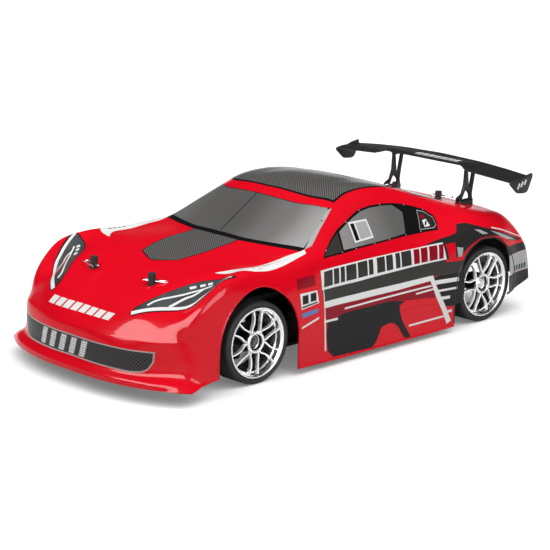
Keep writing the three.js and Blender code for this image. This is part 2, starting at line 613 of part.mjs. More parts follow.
// Tie rod between the ball on the steering link and the ball on the knuckle
function tieRod() {
  const inner = [ARM_INNER_X, CRANK_Y + STEER_ARM];
  const outer = [KINGPIN_X, STEER_ARM];
  const reach = [outer[0] - inner[0], outer[1] - inner[1]];
  const length = Math.hypot(...reach);
  const rod = rodX(1.5, 2, length - 2, 0, 0, 8).rotateZ(Math.atan2(reach[1], reach[0]))
    .translate(inner[0], inner[1], TIE_Z);
  const eyes = [inner, outer].map(([x, y]) => rodZ(3.6, TIE_Z - 2.1, TIE_Z + 2.1, x, y));
  const bores = [inner, outer].map(([x, y]) => rodZ(BALL_RADIUS + 0.45, TIE_Z - 3, TIE_Z + 3, x, y, 8));
  return cut(join(rod, ...eyes), ...bores);
}

const shockLength = Math.hypot(SHOCK_FOOT_X - SHOCK_TOP_X, SHOCK_TOP_Z - SHOCK_FOOT_Z);

// Shock body, hanging down from its upper eye at the origin
function shockBody() {
  const barrel = rodZ(SHOCK_RADIUS, -SHOCK_BODY_LENGTH, -3, 0, 0);
  const collar = rodZ(SHOCK_RADIUS + 0.9, -10, -8, 0, 0);
  const eye = rodY(3.8, -3, 3, 0, 0);
  const shaftBore = rodZ(DRIVESHAFT_RADIUS + 0.4, -SHOCK_BODY_LENGTH - 1, -SHOCK_BODY_LENGTH + 15, 0, 0, 8);
  return cut(join(barrel, collar, eye), rodY(HINGE_PIN_RADIUS + PIN_PLAY, -4, 4, 0, 0), shaftBore);
}

function shockShaft() {
  const rod = rodZ(DRIVESHAFT_RADIUS, -shockLength + 2, -SHOCK_BODY_LENGTH + 10, 0, 0, 8);
  const seat = rodZ(4.6, -shockLength + 4.5, -shockLength + 6, 0, 0);
  const eye = rodY(3, -1.8, 1.8, 0, -shockLength);
  return cut(join(rod, seat, eye), rodY(SMALL_PIN_RADIUS + SHOCK_FOOT_PLAY, -3, 3, 0, -shockLength, 8));
}

// Shock tower: a plate across the gearbox with the two upper shock pins
function shockTower() {
  const front = GEARBOX_FRONT - FIT - TOWER_THICKNESS;
  const back = GEARBOX_FRONT - FIT;
  const foot = HANGER_TOP + FIT;
  const plate = holed(
    mirrorX([[GEARBOX_HALF, foot], [GEARBOX_HALF + 1, 38], [SHOCK_TOP_X + 5, SHOCK_TOP_Z - 5],
      [SHOCK_TOP_X + 5, SHOCK_TOP_Z + 4], [SHOCK_TOP_X - 6, SHOCK_TOP_Z + 6], [8, SHOCK_TOP_Z - 2]]),
    mirrorX([[6, 46], [15, 48], [22, 56], [10, 54]]),
  );
  const pin = (x) => rodY(HINGE_PIN_RADIUS, back - 1, SHOCK_Y + 4, x, SHOCK_TOP_Z, 8);
  return [slabY(plate, front, back), pin(-SHOCK_TOP_X), pin(SHOCK_TOP_X)];
}

// The rear tower also holds the two rear body posts on its inner face
function rearTower() {
  const postY = -(REAR_POST[1] - WHEELBASE);
  const posts = [-REAR_POST[0], REAR_POST[0]].flatMap((x) => [
    rodZ(POST_RADIUS, REAR_POST_FOOT, REAR_POST[2], x, postY, 8),
    box(x - 4, x + 4, GEARBOX_FRONT - FIT - 1, postY + 4, REAR_POST_FOOT, REAR_POST_FOOT + 10),
  ]);
  return join(...shockTower(), ...posts);
}

// Gearbox with the hinge pin hangers, the drive cups and the upper link lugs
function gearbox() {
  const slope = 5;
  const hangerX = ARM_INNER_X + 4.5;
  const shoulder = GEARBOX_TOP - slope;
  const caseOutline = mirrorX([[GEARBOX_HALF, SEAT_Z], [GEARBOX_HALF, shoulder], [GEARBOX_HALF - slope, GEARBOX_TOP]]);
  const hangerOutline = mirrorX([[hangerX, SEAT_Z], [hangerX, ARM_PIN_Z + 4.5], [GEARBOX_HALF, HANGER_TOP]]);
  const front = slabY(outline(hangerOutline), GEARBOX_FRONT - HANGER, GEARBOX_FRONT);
  const rear = slabY(outline(hangerOutline), GEARBOX_REAR, GEARBOX_REAR + HANGER);
  const pieces = [slabY(outline(caseOutline), GEARBOX_FRONT - 0.1, GEARBOX_REAR + 0.1), front, rear];
  const inlet = GEARBOX_REAR + INLET_LENGTH;
  pieces.push(rodY(6, GEARBOX_REAR - 1, inlet, 0, AXLE_Z));
  const bores = [rodY(CENTRE_SHAFT_RADIUS + FIT, inlet - 5, inlet + 1, 0, AXLE_Z)];
  for (const side of [-1, 1]) {
    const ends = (a, b) => [side * a, side * b].sort((p, q) => p - q);
    pieces.push(rodY(HINGE_PIN_RADIUS, GEARBOX_FRONT - 2, GEARBOX_REAR + 2, side * ARM_INNER_X, ARM_PIN_Z, 8));
    pieces.push(rodX(CUP_RADIUS, ...ends(GEARBOX_HALF - 1, ARM_INNER_X + CUP_DEPTH - 0.5), 0, AXLE_Z));
    bores.push(rodX(CUP_BORE, ...ends(ARM_INNER_X - CUP_DEPTH, ARM_INNER_X + CUP_DEPTH + 1), 0, AXLE_Z));
    const lugX = side * (ARM_INNER_X - LINK_INSET);
    pieces.push(...linkLug(lugX, GEARBOX_TOP - 2));
    pieces.push(box(...ends(4, ARM_INNER_X - LINK_INSET + 3), 2.8, 5.8, GEARBOX_TOP - 3, GEARBOX_TOP + 1));
  }
  return cut(join(...pieces), ...bores);
}

// Chassis plate with the idler post
function chassisPlate() {
  const half = PLATE_HALF_WIDTH;
  const nose = -FRONT_OVERHANG + 24;
  const tail = WHEELBASE + 26;
  const rim = [
    [PLATE_NECK - 6, nose], [PLATE_NECK, nose + 8], [PLATE_NECK + 4, -30], [PLATE_NECK + 4, ARM_REAR + 4],
    [half - 18, 26], [half, 60], [half, WHEELBASE - 55], [PLATE_NECK + 4, WHEELBASE - ARM_REAR - 5],
    [PLATE_NECK + 4, tail - 4], [PLATE_NECK, tail],
  ];
  const plate = slabZ(outline(mirrorX(rim)), PLATE_Z, PLATE_TOP);
  const slots = [70, 134].map((y) => box(8, 14, y, y + 28, PLATE_Z - 1, PLATE_TOP + 1));
  const post = rodZ(CRANK_PIVOT_RADIUS + 1.4, PLATE_TOP - 1, CRANK_Z - FIT, -CRANK_X, CRANK_Y);
  const pivot = rodZ(CRANK_PIVOT_RADIUS, CRANK_Z - 1, CRANK_Z + CRANK_THICKNESS + 1, -CRANK_X, CRANK_Y, 8);
  return cut(join(plate, post, pivot), ...slots);
}

// Moulded bumper with the brace behind it that carries the front body posts
function frontBumper() {
  const nose = -FRONT_OVERHANG + BUMPER_SETBACK;
  const block = mirrorX([[30, nose + 1], [56, nose + 7], [70, nose + 15], [66, nose + 26], [20, nose + 30]]);
  const [postX, postY, postTop] = FRONT_POST;
  const brace = mirrorX([[44, nose + 24], [postX + 5, postY + 5], [postX - 6, postY + 5], [20, nose + 32]]);
  const top = SEAT_Z + BUMPER_HEIGHT;
  const braceZ = SEAT_Z + 2;
  const posts = [-postX, postX].flatMap((x) => [
    rodZ(POST_RADIUS, braceZ + 1, postTop, x, postY, 8),
    rodZ(POST_RADIUS + 2, braceZ + 1, top - 6, x, postY, 8),
  ]);
  const arms = slabZ(outline(brace), braceZ, braceZ + BRACE_THICKNESS);
  return join(slabZ(outline(block), SEAT_Z, top), arms, ...posts);
}

// Steering: crank blade, drag link, servo
function steeringCrank(x) {
  const tip = CRANK_Y + STEER_ARM;
  const half = 4.5;
  const blade = outline([[x - half, CRANK_Y - half], [x + half, CRANK_Y - half], [x + half, CRANK_Y + 3],
    [x + 3, tip + 3], [x - 3, tip + 3], [x - half, CRANK_Y + 3]]);
  const pin = rodZ(CRANK_PIN_RADIUS, CRANK_Z + 1, TIE_Z - 3.2, x, tip, 8);
  const body = join(slabZ(blade, CRANK_Z, CRANK_Z + CRANK_THICKNESS), pin);
  return cut(body, rodZ(CRANK_PIVOT_RADIUS + PIN_PLAY, CRANK_Z - 1, CRANK_Z + 5, x, CRANK_Y, 8));
}

function steeringLink() {
  const y = CRANK_Y + STEER_ARM;
  const low = CRANK_Z + CRANK_THICKNESS + FIT;
  const high = TIE_Z - 3.6;
  const body = join(
    slabZ(outline(mirrorX([[CRANK_X + 4, y - 3.5], [CRANK_X + 4, y + 3.5]])), low, high),
    ...[-ARM_INNER_X, ARM_INNER_X].flatMap((x) => [
      rodZ(BALL_STEM_RADIUS, high - 1, TIE_Z, x, y, 8),
      ball(BALL_RADIUS, x, y, TIE_Z),
    ]),
  );
  const eye = (x) => rodZ(CRANK_PIN_RADIUS + PIN_PLAY, low - 1, high + 1, x, y, 8);
  return cut(body, eye(-CRANK_X), eye(CRANK_X));
}

function steeringServo() {
  const [width, length, height] = SERVO;
  const x0 = CRANK_X - width / 2;
  const y0 = CRANK_Y - 10;
  return join(
    box(x0, x0 + width, y0, y0 + length, SEAT_Z, SEAT_Z + height - 1),
    box(x0, x0 + width, y0 - SERVO_EAR, y0 + length + SERVO_EAR, SEAT_Z + height - 7, SEAT_Z + height - 5),
    rodZ(SERVO_BOSS_RADIUS, SEAT_Z, CRANK_Z - FIT, CRANK_X, CRANK_Y, 12),
    rodZ(CRANK_PIVOT_RADIUS, CRANK_Z - 1, CRANK_Z + CRANK_THICKNESS + 1, CRANK_X, CRANK_Y, 8),
  );
}

// Drive line and electrics
function centreShaft() {
  const start = GEARBOX_REAR + INLET_LENGTH - 4;
  const end = WHEELBASE - start;
  const gear = [SPUR_Y, SPUR_Y + GEAR_WIDTH];
  return join(
    rodY(CENTRE_SHAFT_RADIUS, start, end, 0, AXLE_Z),
    rodY(SPUR_RADIUS, ...gear, 0, AXLE_Z, 36), rodY(5, gear[0] - 2, gear[1] + 4, 0, AXLE_Z),
  );
}

const motorZ = SEAT_Z + MOTOR_RADIUS;
const motorX = Math.sqrt((SPUR_RADIUS + PINION_RADIUS + FIT) ** 2 - (AXLE_Z - motorZ) ** 2);

function motor() {
  const end = SPUR_Y - MOTOR_GAP;
  return join(
    rodY(MOTOR_RADIUS, end - MOTOR_LENGTH, end, motorX, motorZ, 24),
    rodY(MOTOR_BEARING_RADIUS, end - MOTOR_LENGTH - 3, end - MOTOR_LENGTH + 1, motorX, motorZ),
    rodY(MOTOR_SHAFT_RADIUS, end - 1, SPUR_Y + GEAR_WIDTH + 2, motorX, motorZ, 8),
  );
}

function motorPinion() {
  return cut(rodY(PINION_RADIUS, SPUR_Y, SPUR_Y + GEAR_WIDTH, motorX, motorZ, 14),
    rodY(MOTOR_SHAFT_RADIUS + FIT, SPUR_Y - 1, SPUR_Y + GEAR_WIDTH + 1, motorX, motorZ, 8));
}

function batteryPack() {
  const [width, length, height] = BATTERY;
  return box(-BATTERY_X - width, -BATTERY_X, BATTERY_START, BATTERY_START + length, SEAT_Z, SEAT_Z + height);
}

function batteryStrap() {
  const [width, length, height] = BATTERY;
  const x0 = -BATTERY_X - width - FIT;
  const x1 = -BATTERY_X + FIT;
  const top = SEAT_Z + height + FIT;
  const outside = top + STRAP_THICKNESS;
  const strap = outline([[x0 - STRAP_THICKNESS, SEAT_Z], [x0, SEAT_Z], [x0, top], [x1, top], [x1, SEAT_Z],
    [x1 + STRAP_THICKNESS, SEAT_Z], [x1 + STRAP_THICKNESS, outside], [x0 - STRAP_THICKNESS, outside]]);
  const middle = BATTERY_START + length / 2;
  return slabY(strap, middle - STRAP_WIDTH / 2, middle + STRAP_WIDTH / 2);
}

function speedController() {
  const [width, length, height] = CONTROLLER;
  const end = CONTROLLER_START + length;
  const top = SEAT_Z + height;
  const pitch = (width - FIN_THICKNESS) / FIN_COUNT;
  const fins = Array.from({ length: FIN_COUNT }, (_, i) => {
    const x = CONTROLLER_X + pitch * (i + 0.5);
    const y = CONTROLLER_START + FIN_HEIGHT;
    return box(x, x + FIN_THICKNESS, y, end - FIN_HEIGHT, top - 0.5, top + FIN_HEIGHT);
  });
  return join(box(CONTROLLER_X, CONTROLLER_X + width, CONTROLLER_START, end, SEAT_Z, top), ...fins);
}

// Assembly
const car = new THREE.Group();
car.position.y = FRONT_OVERHANG - LENGTH / 2;

const skin = shellGrid();
add(car, "body_shell", bodyShell(skin), redPaint);
add(car, "rear_wing", rearWing(), wingPlastic);
add(car, "wing_upright_left", wingUpright(skin, 1), wingPlastic);
add(car, "wing_upright_right", wingUpright(skin, -1), wingPlastic);
add(car, "chassis_plate", chassisPlate(), carbonPlate);
add(car, "front_bumper", frontBumper(), foam);
add(car, "steering_servo", steeringServo(), blackPlastic);
add(car, "servo_crank", steeringCrank(CRANK_X), blackPlastic);
add(car, "idler_crank", steeringCrank(-CRANK_X), blackPlastic);
add(car, "steering_link", steeringLink(), carbonPlate);
add(car, "centre_shaft", centreShaft(), gearPlastic);
add(car, "motor", motor(), motorCan);
add(car, "motor_pinion", motorPinion(), steel);
add(car, "battery_pack", batteryPack(), blueCase);
add(car, "battery_strap", batteryStrap(), carbonPlate);
add(car, "speed_controller", speedController(), blackPlastic);

// The rear axle is the front one turned to face backwards; the right side mirrors the left.
for (const end of ["front", "rear"]) {
  const axleGroup = new THREE.Group();
  axleGroup.position.y = end === "front" ? 0 : WHEELBASE;
  axleGroup.scale.y = end === "front" ? 1 : -1;
  car.add(axleGroup);
  add(axleGroup, `${end}_gearbox`, gearbox(), blackPlastic);
  add(axleGroup, `${end}_shock_tower`, end === "front" ? join(...shockTower()) : rearTower(), carbonPlate);
  for (const side of ["left", "right"]) {
    const corner = new THREE.Group();
    corner.scale.x = side === "left" ? 1 : -1;
    axleGroup.add(corner);
    add(corner, `${end}_arm_${side}`, lowerArm(), blackPlastic);
    add(corner, `${end}_camber_link_${side}`, camberLink(), steel);
    add(corner, `${end}_driveshaft_${side}`, driveshaft(), steel);
    add(corner, `${end}_axle_${side}`, axle(), steel);
    if (end === "front") {
      add(corner, `caster_block_${side}`, casterBlock(), blackPlastic);
      add(corner, `steering_knuckle_${side}`, steeringKnuckle(), blackPlastic);
      add(corner, `tie_rod_${side}`, tieRod(), steel);
    } else {
      add(corner, `rear_hub_${side}`, rearHub(), blackPlastic);
    }
    const shock = new THREE.Group();
    shock.position.set(SHOCK_TOP_X, SHOCK_Y, SHOCK_TOP_Z);
    shock.rotation.y = -Math.atan2(SHOCK_FOOT_X - SHOCK_TOP_X, SHOCK_TOP_Z - SHOCK_FOOT_Z);
    corner.add(shock);
    add(shock, `${end}_shock_body_${side}`, shockBody(), motorCan);
    add(shock, `${end}_shock_shaft_${side}`, shockShaft(), steel);
    const hub = new THREE.Group();
    hub.position.set(WHEEL_X, 0, AXLE_Z);
    corner.add(hub);
    add(hub, `${end}_wheel_${side}`, wheel(end === "front" ? FRONT_WHEEL_TURN : REAR_WHEEL_TURN), chrome);
    add(hub, `${end}_tyre_${side}`, tyre(), rubber);
  }
}

const root = new THREE.Group();
root.add(car);
export default root;
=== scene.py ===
# %% [markdown]
# # A radio controlled drift car in one tenth scale
# The real car is a flat chassis with a thin polycarbonate shell on four posts. The chassis, the suspension
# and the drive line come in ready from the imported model, and this script dresses them: it gives every piece
# its material, and builds the shell, the prints on it, the wheels, the tyres, the wing and the small parts
# afresh in fine detail. Everything is in metres, the nose points along -Y and the car's left side is +X.

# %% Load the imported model
import bpy
import bmesh
import math
from mathutils import Quaternion, Matrix, Vector
from mathutils.bvhtree import BVHTree
from mathutils.geometry import tessellate_polygon
from mathutils.interpolate import poly_3d_calc


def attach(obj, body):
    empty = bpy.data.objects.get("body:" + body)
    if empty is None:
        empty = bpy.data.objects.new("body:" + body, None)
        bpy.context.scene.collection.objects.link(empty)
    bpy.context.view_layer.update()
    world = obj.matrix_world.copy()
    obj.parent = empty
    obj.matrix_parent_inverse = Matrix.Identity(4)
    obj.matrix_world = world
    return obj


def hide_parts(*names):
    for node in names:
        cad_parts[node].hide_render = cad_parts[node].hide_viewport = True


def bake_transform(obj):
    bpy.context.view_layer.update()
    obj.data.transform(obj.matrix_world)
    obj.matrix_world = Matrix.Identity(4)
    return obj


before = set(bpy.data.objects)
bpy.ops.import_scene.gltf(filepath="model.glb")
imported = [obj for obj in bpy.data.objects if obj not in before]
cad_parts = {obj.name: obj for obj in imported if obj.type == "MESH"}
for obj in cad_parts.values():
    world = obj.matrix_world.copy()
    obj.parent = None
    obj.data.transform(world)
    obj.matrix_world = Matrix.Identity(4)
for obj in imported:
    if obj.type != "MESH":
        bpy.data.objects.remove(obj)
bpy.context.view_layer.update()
print("packed nodes", len(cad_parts))

# %% [markdown]
# ## Sizes
# Lengths are written in millimetres, as on a drawing, and every y is counted backwards from the front axle,
# which sits 109.5 mm in front of the middle of the car. The function place turns such a point into metres.

# %% Sizes and places
FRONT_AXLE = -109.5
WHEELBASE = 260
WHEEL_X = 81
AXLE_Z = 32
SHELL_WALL = 1.2


def place(x, y, z):
    return Vector((x / 1000, (y + FRONT_AXLE) / 1000, z / 1000))


def drawn(p):
    return Vector((p.x * 1000, p.y * 1000 - FRONT_AXLE, p.z * 1000))


# %% [markdown]
# ## Materials
# A material here is a small node graph. Each one starts from a Principled BSDF and adds what the real surface
# shows: the paint has a faint waviness from vacuum forming, rubber has dust and scuffs, plastic has grain.
# Noise is read in object coordinates, so its scale is in waves per metre.

# %% Node helpers
MIX_ONE, MIX_OTHER, MIX_RESULT = 6, 7, 2


def feed(tree, node, values):
    for socket, value in values.items():
        if isinstance(value, bpy.types.NodeSocket):
            tree.links.new(value, node.inputs[socket])
        else:
            node.inputs[socket].default_value = value


def add(tree, kind, values):
    node = tree.nodes.new(kind)
    feed(tree, node, values)
    return node


def new_look(name):
    look = bpy.data.materials.new(name)
    look.use_nodes = True
    return look, look.node_tree, look.node_tree.nodes["Principled BSDF"]


def object_point(tree):
    return tree.nodes.new("ShaderNodeTexCoord").outputs["Object"]


def noise(tree, scale, detail=3.0):
    values = {"Scale": scale, "Detail": detail, "Roughness": 0.55, "Vector": object_point(tree)}
    return add(tree, "ShaderNodeTexNoise", values).outputs["Fac"]


def between(tree, factor, low, high, start=0.0, end=1.0):
    values = {"Value": factor, "From Min": start, "From Max": end, "To Min": low, "To Max": high}
    return add(tree, "ShaderNodeMapRange", values).outputs["Result"]


def mixed(tree, factor, one, other, blend="MIX"):
    node = tree.nodes.new("ShaderNodeMix")
    node.data_type, node.blend_type = "RGBA", blend
    one, other = [(*c, 1.0) if isinstance(c, tuple) else c for c in (one, other)]
    feed(tree, node, {0: factor, MIX_ONE: one, MIX_OTHER: other})
    return node.outputs[MIX_RESULT]


def combined(tree, operation, one, other):
    node = add(tree, "ShaderNodeMath", {0: one, 1: other})
    node.operation = operation
    return node.outputs[0]


def bumped(tree, shader, height, strength, distance):
    bump = add(tree, "ShaderNodeBump", {"Strength": strength, "Distance": distance, "Height": height})
    feed(tree, shader, {"Normal": bump.outputs["Normal"]})


# %% [markdown]
# The glossy finishes share one recipe: a base colour that drifts a little from place to place, a clear coat
# over it, and a slow bump that bends reflections slightly, as a formed sheet does.

# %% Glossy sheet finishes
def glossy(name, colour, coat=0.3):
    look, tree, shader = new_look(name)
    dark = tuple(c * 0.95 for c in colour)
    feed(tree, shader, {"Base Color": mixed(tree, noise(tree, 60), dark, colour),
                        "Roughness": between(tree, noise(tree, 900), 0.2125, 0.3),
                        "Coat Weight": coat, "Coat Roughness": 0.04, "Specular IOR Level": 0.06})
    bumped(tree, shader, noise(tree, 28, 1.0), 0.1, 0.0004)
    return look


red_paint = glossy("red_paint", (0.77, 0.001, 0.013))
crimson_print = glossy("crimson_print", (0.30, 0.004, 0.016), coat=0.16)
charcoal_print = glossy("charcoal_print", (0.042, 0.040, 0.038), coat=0.16)
sweep_print = glossy("sweep_print", (0.026, 0.024, 0.024), coat=0.2)
black_print = glossy("black_print", (0.008, 0.008, 0.009), coat=0.2)
white_print = glossy("white_print", (0.83, 0.84, 0.83))
pale_print = glossy("pale_print", (0.42, 0.43, 0.43))
blue_print = glossy("blue_print", (0.12, 0.22, 0.50))
rim_silver = glossy("rim_silver", (0.45, 0.38, 0.38))

# %% [markdown]
# The window tint is a grey glass look. It could be clear glass over a dark inside, but the real windows are
# smoked sheet that shows nothing behind it, so a ramp is run across them instead. Its dark grey is the smoke's
# own colour, and its change is a painted reflection of the studio light falling on the bent glass: on the screen
# the grey grows lighter towards the car's left, and on the side windows it grows lighter towards the front.

# %% Window tint with painted reflection
def smoke_with_painted_reflection(name, axis, shades):
    look, tree, shader = new_look(name)
    start, end = shades[0][0], shades[-1][0]
    ramp = tree.nodes.new("ShaderNodeValToRGB")
    ramp.color_ramp.interpolation = "EASE"
    while len(ramp.color_ramp.elements) < len(shades):
        ramp.color_ramp.elements.new(0.5)
    for element, (spot, grey) in zip(ramp.color_ramp.elements, shades):
        element.position = (spot - start) / (end - start)
        element.color = (grey, grey * 0.985, grey * 0.965, 1)
    spot = add(tree, "ShaderNodeSeparateXYZ", {0: object_point(tree)}).outputs[axis]
    along = between(tree, spot, 0.0, 1.0, start / 1000, end / 1000)
    cloud = between(tree, noise(tree, 18, 2.0), -0.05, 0.05)
    feed(tree, ramp, {"Fac": combined(tree, "ADD", along, cloud)})
    feed(tree, shader, {"Base Color": ramp.outputs["Color"], "Roughness": 0.18,
                        "Specular IOR Level": 0.1, "Coat Weight": 0.35})
    bumped(tree, shader, noise(tree, 24, 1.0), 0.08, 0.0005)
    return look


# Both ramps are painted reflection laid over the smoke's own dark grey.
screen_tint = smoke_with_painted_reflection("screen_tint", "X", [(-75, 0.17), (-35, 0.115), (5, 0.10), (40, 0.17), (72, 0.36)])
side_tint = smoke_with_painted_reflection("side_tint", "Y", [(-8, 0.28), (20, 0.20), (60, 0.125), (100, 0.11)])

# %% [markdown]
# The carbon print is a fine diagonal rib with a second, fainter rib across it, and the grille is a net of crossed
# strands. Both are wave textures read in turned coordinates, so they need no picture. The lamp's field is a cloudy
# grey, and the hatched bars of the grille are a very fine checker.

# %% Carbon print, grille net and lamp field
def rotated_point(tree, turn):
    return add(tree, "ShaderNodeMapping", {"Rotation": turn, "Vector": object_point(tree)}).outputs["Vector"]


def ribs(tree, point, scale, directions):
    made = []
    for direction, start, end in directions:
        wave = add(tree, "ShaderNodeTexWave", {"Scale": scale, "Vector": point})
        wave.bands_direction = direction
        made.append(between(tree, wave.outputs["Fac"], 0.0, 1.0, start, end))
    return made


def carbon_print():
    look, tree, shader = new_look("carbon_print")
    diagonal = rotated_point(tree, (0, 0, math.radians(-43.8)))
    strong, faint = ribs(tree, diagonal, 215, (("X", 0.3, 0.7), ("Y", 0.0, 1.0)))
    weave = mixed(tree, strong, (0.022, 0.021, 0.020), (0.205, 0.20, 0.195))
    shade = mixed(tree, faint, (0.78, 0.78, 0.78), (1.0, 1.0, 1.0))
    feed(tree, shader, {"Base Color": mixed(tree, 1.0, weave, shade, "MULTIPLY"), "Roughness": 0.3,
                        "Specular IOR Level": 0.1, "Coat Weight": 0.3, "Coat Roughness": 0.05})
    bumped(tree, shader, strong, 0.15, 0.0001)
    return look


def lamp_reflector():
    look, tree, shader = new_look("lamp_reflector")
    field = mixed(tree, noise(tree, 55, 2.0), (0.014, 0.018, 0.021), (0.12, 0.13, 0.135))
    feed(tree, shader, {"Base Color": field, "Roughness": 0.25, "Specular IOR Level": 0.1, "Coat Weight": 0.3})
    return look


def grille_mesh():
    look, tree, shader = new_look("grille_mesh")
    slanting = rotated_point(tree, (0, math.radians(45), 0))
    strands = combined(tree, "MAXIMUM", *ribs(tree, slanting, 150, (("X", 0.55, 0.85), ("Z", 0.55, 0.85))))
    feed(tree, shader, {"Base Color": mixed(tree, strands, (0.004, 0.004, 0.005), (0.06, 0.056, 0.056)),
                        "Roughness": 0.4, "Specular IOR Level": 0.1, "Coat Weight": 0.08})
    bumped(tree, shader, strands, 0.3, 0.0001)
    return look


def hatched_print():
    look, tree, shader = new_look("hatched_print")
    slanting = rotated_point(tree, (0, math.radians(45), 0))
    check = add(tree, "ShaderNodeTexChecker", {"Scale": 800, "Color1": (0.8, 0.8, 0.8, 1),
                                               "Color2": (0.25, 0.25, 0.25, 1), "Vector": slanting})
    feed(tree, shader, {"Base Color": check.outputs["Color"], "Roughness": 0.3, "Coat Weight": 0.4})
    return look


carbon = carbon_print()
hatched = hatched_print()
lamp_glass = lamp_reflector()
grille_weave = grille_mesh()

# %% [markdown]
# Metals and moulded parts: chrome is almost a mirror with a little haze, rubber is dark and rough with dust,
# black plastic has a fine moulded grain, and the plate under it all is a woven board. Two metals are dark copies
# that paint shade: a dark chrome is painted shade in the hollow of each hub dish, and a dark steel is painted
# shade on the front axles, for the dark centre of the front hubs.

# %% Metal, rubber and plastic finishes
def metal(name, colour, rough, grain=400, strength=0.05):
    look, tree, shader = new_look(name)
    feed(tree, shader, {"Base Color": (*colour, 1.0), "Metallic": 1.0,
                        "Roughness": between(tree, noise(tree, grain), rough * 0.7, rough * 1.4)})
    bumped(tree, shader, noise(tree, grain * 2), strength, 0.00005)
    return look


def matte(name, dark, light, rough, grain=1500, strength=0.25):
    look, tree, shader = new_look(name)
    feed(tree, shader, {"Base Color": mixed(tree, noise(tree, 90), dark, light), "Specular IOR Level": 0.25,
                        "Roughness": between(tree, noise(tree, 500), rough * 0.85, min(rough * 1.15, 1))})
    bumped(tree, shader, noise(tree, grain), strength, 0.0001)
    return look


chrome = metal("chrome_plating", (0.72, 0.72, 0.73), 0.26, 300, 0.01)
satin_chrome = metal("satin_chrome", (0.86, 0.86, 0.87), 0.42, 300, 0.01)
# Dark chrome: painted shade for the hollow of the hub dishes.
hub_painted_shade_chrome = metal("shaded_chrome", (0.16, 0.16, 0.17), 0.22, 300, 0.02)
steel = metal("steel", (0.55, 0.56, 0.58), 0.28)
# Dark steel: painted shade for the dark centre of the front hubs.
axle_painted_shade_steel = metal("blackened_steel", (0.10, 0.10, 0.105), 0.3)
alloy = metal("turned_alloy", (0.72, 0.73, 0.76), 0.24)
tyre_rubber = matte("tyre_rubber", (0.013, 0.013, 0.014), (0.035, 0.034, 0.034), 0.62, 700, 0.3)
black_plastic = matte("black_plastic", (0.012, 0.012, 0.013), (0.020, 0.020, 0.021), 0.45)
wing_plastic = matte("wing_plastic", (0.012, 0.012, 0.013), (0.026, 0.025, 0.026), 0.46, 1800, 0.12)
bumper_foam = matte("bumper_foam", (0.012, 0.012, 0.012), (0.03, 0.03, 0.03), 0.95, 900, 0.8)
battery_case = matte("battery_case", (0.02, 0.05, 0.14), (0.03, 0.07, 0.18), 0.4)
gear_plastic = matte("gear_plastic", (0.62, 0.60, 0.54), (0.72, 0.70, 0.64), 0.45)
carbon_plate = matte("carbon_plate", (0.014, 0.015, 0.016), (0.04, 0.042, 0.045), 0.35, 1200, 0.2)
lining = matte("shell_lining", (0.02, 0.02, 0.02), (0.05, 0.045, 0.045), 0.6)

# %% [markdown]
# The imported pieces keep their shapes. Each of them names a material slot, and the finish made for that slot takes
# its place. Only the front axles differ: they get a dark steel, painted shade for the dark centre of the front hubs.

# %% Give the imported pieces their finishes
FINISH_OF_SLOT = {
    "red_shell": red_paint, "chrome": chrome, "tyre_rubber": tyre_rubber, "black_plastic": black_plastic,
    "carbon_plate": carbon_plate, "steel": steel, "alloy": alloy, "battery_case": battery_case,
    "bumper_foam": bumper_foam, "wing_plastic": wing_plastic, "gear_plastic": gear_plastic,
}
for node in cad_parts.values():
    for slot in node.material_slots:
        found = [k for k in FINISH_OF_SLOT if slot.material and slot.material.name.startswith(k)]
        if found:
            # The front axles get the dark steel, which is painted shade.
            slot.material = axle_painted_shade_steel if "front_axle" in node.name else FINISH_OF_SLOT[found[0]]
        else:
            print("no finish for", node.name, slot.material.name if slot.material else None)

# %% [markdown]
# ## The shell's surface
# The shell is drawn as 25 cross lines from nose to tail. Each line has seven points from the middle of the car
# to the bottom edge of the side: middle, inner, rail, belt, shoulder, side and sill. A smooth curve is run
# through the points from nose to tail and then from side to side, which gives a fine grid.

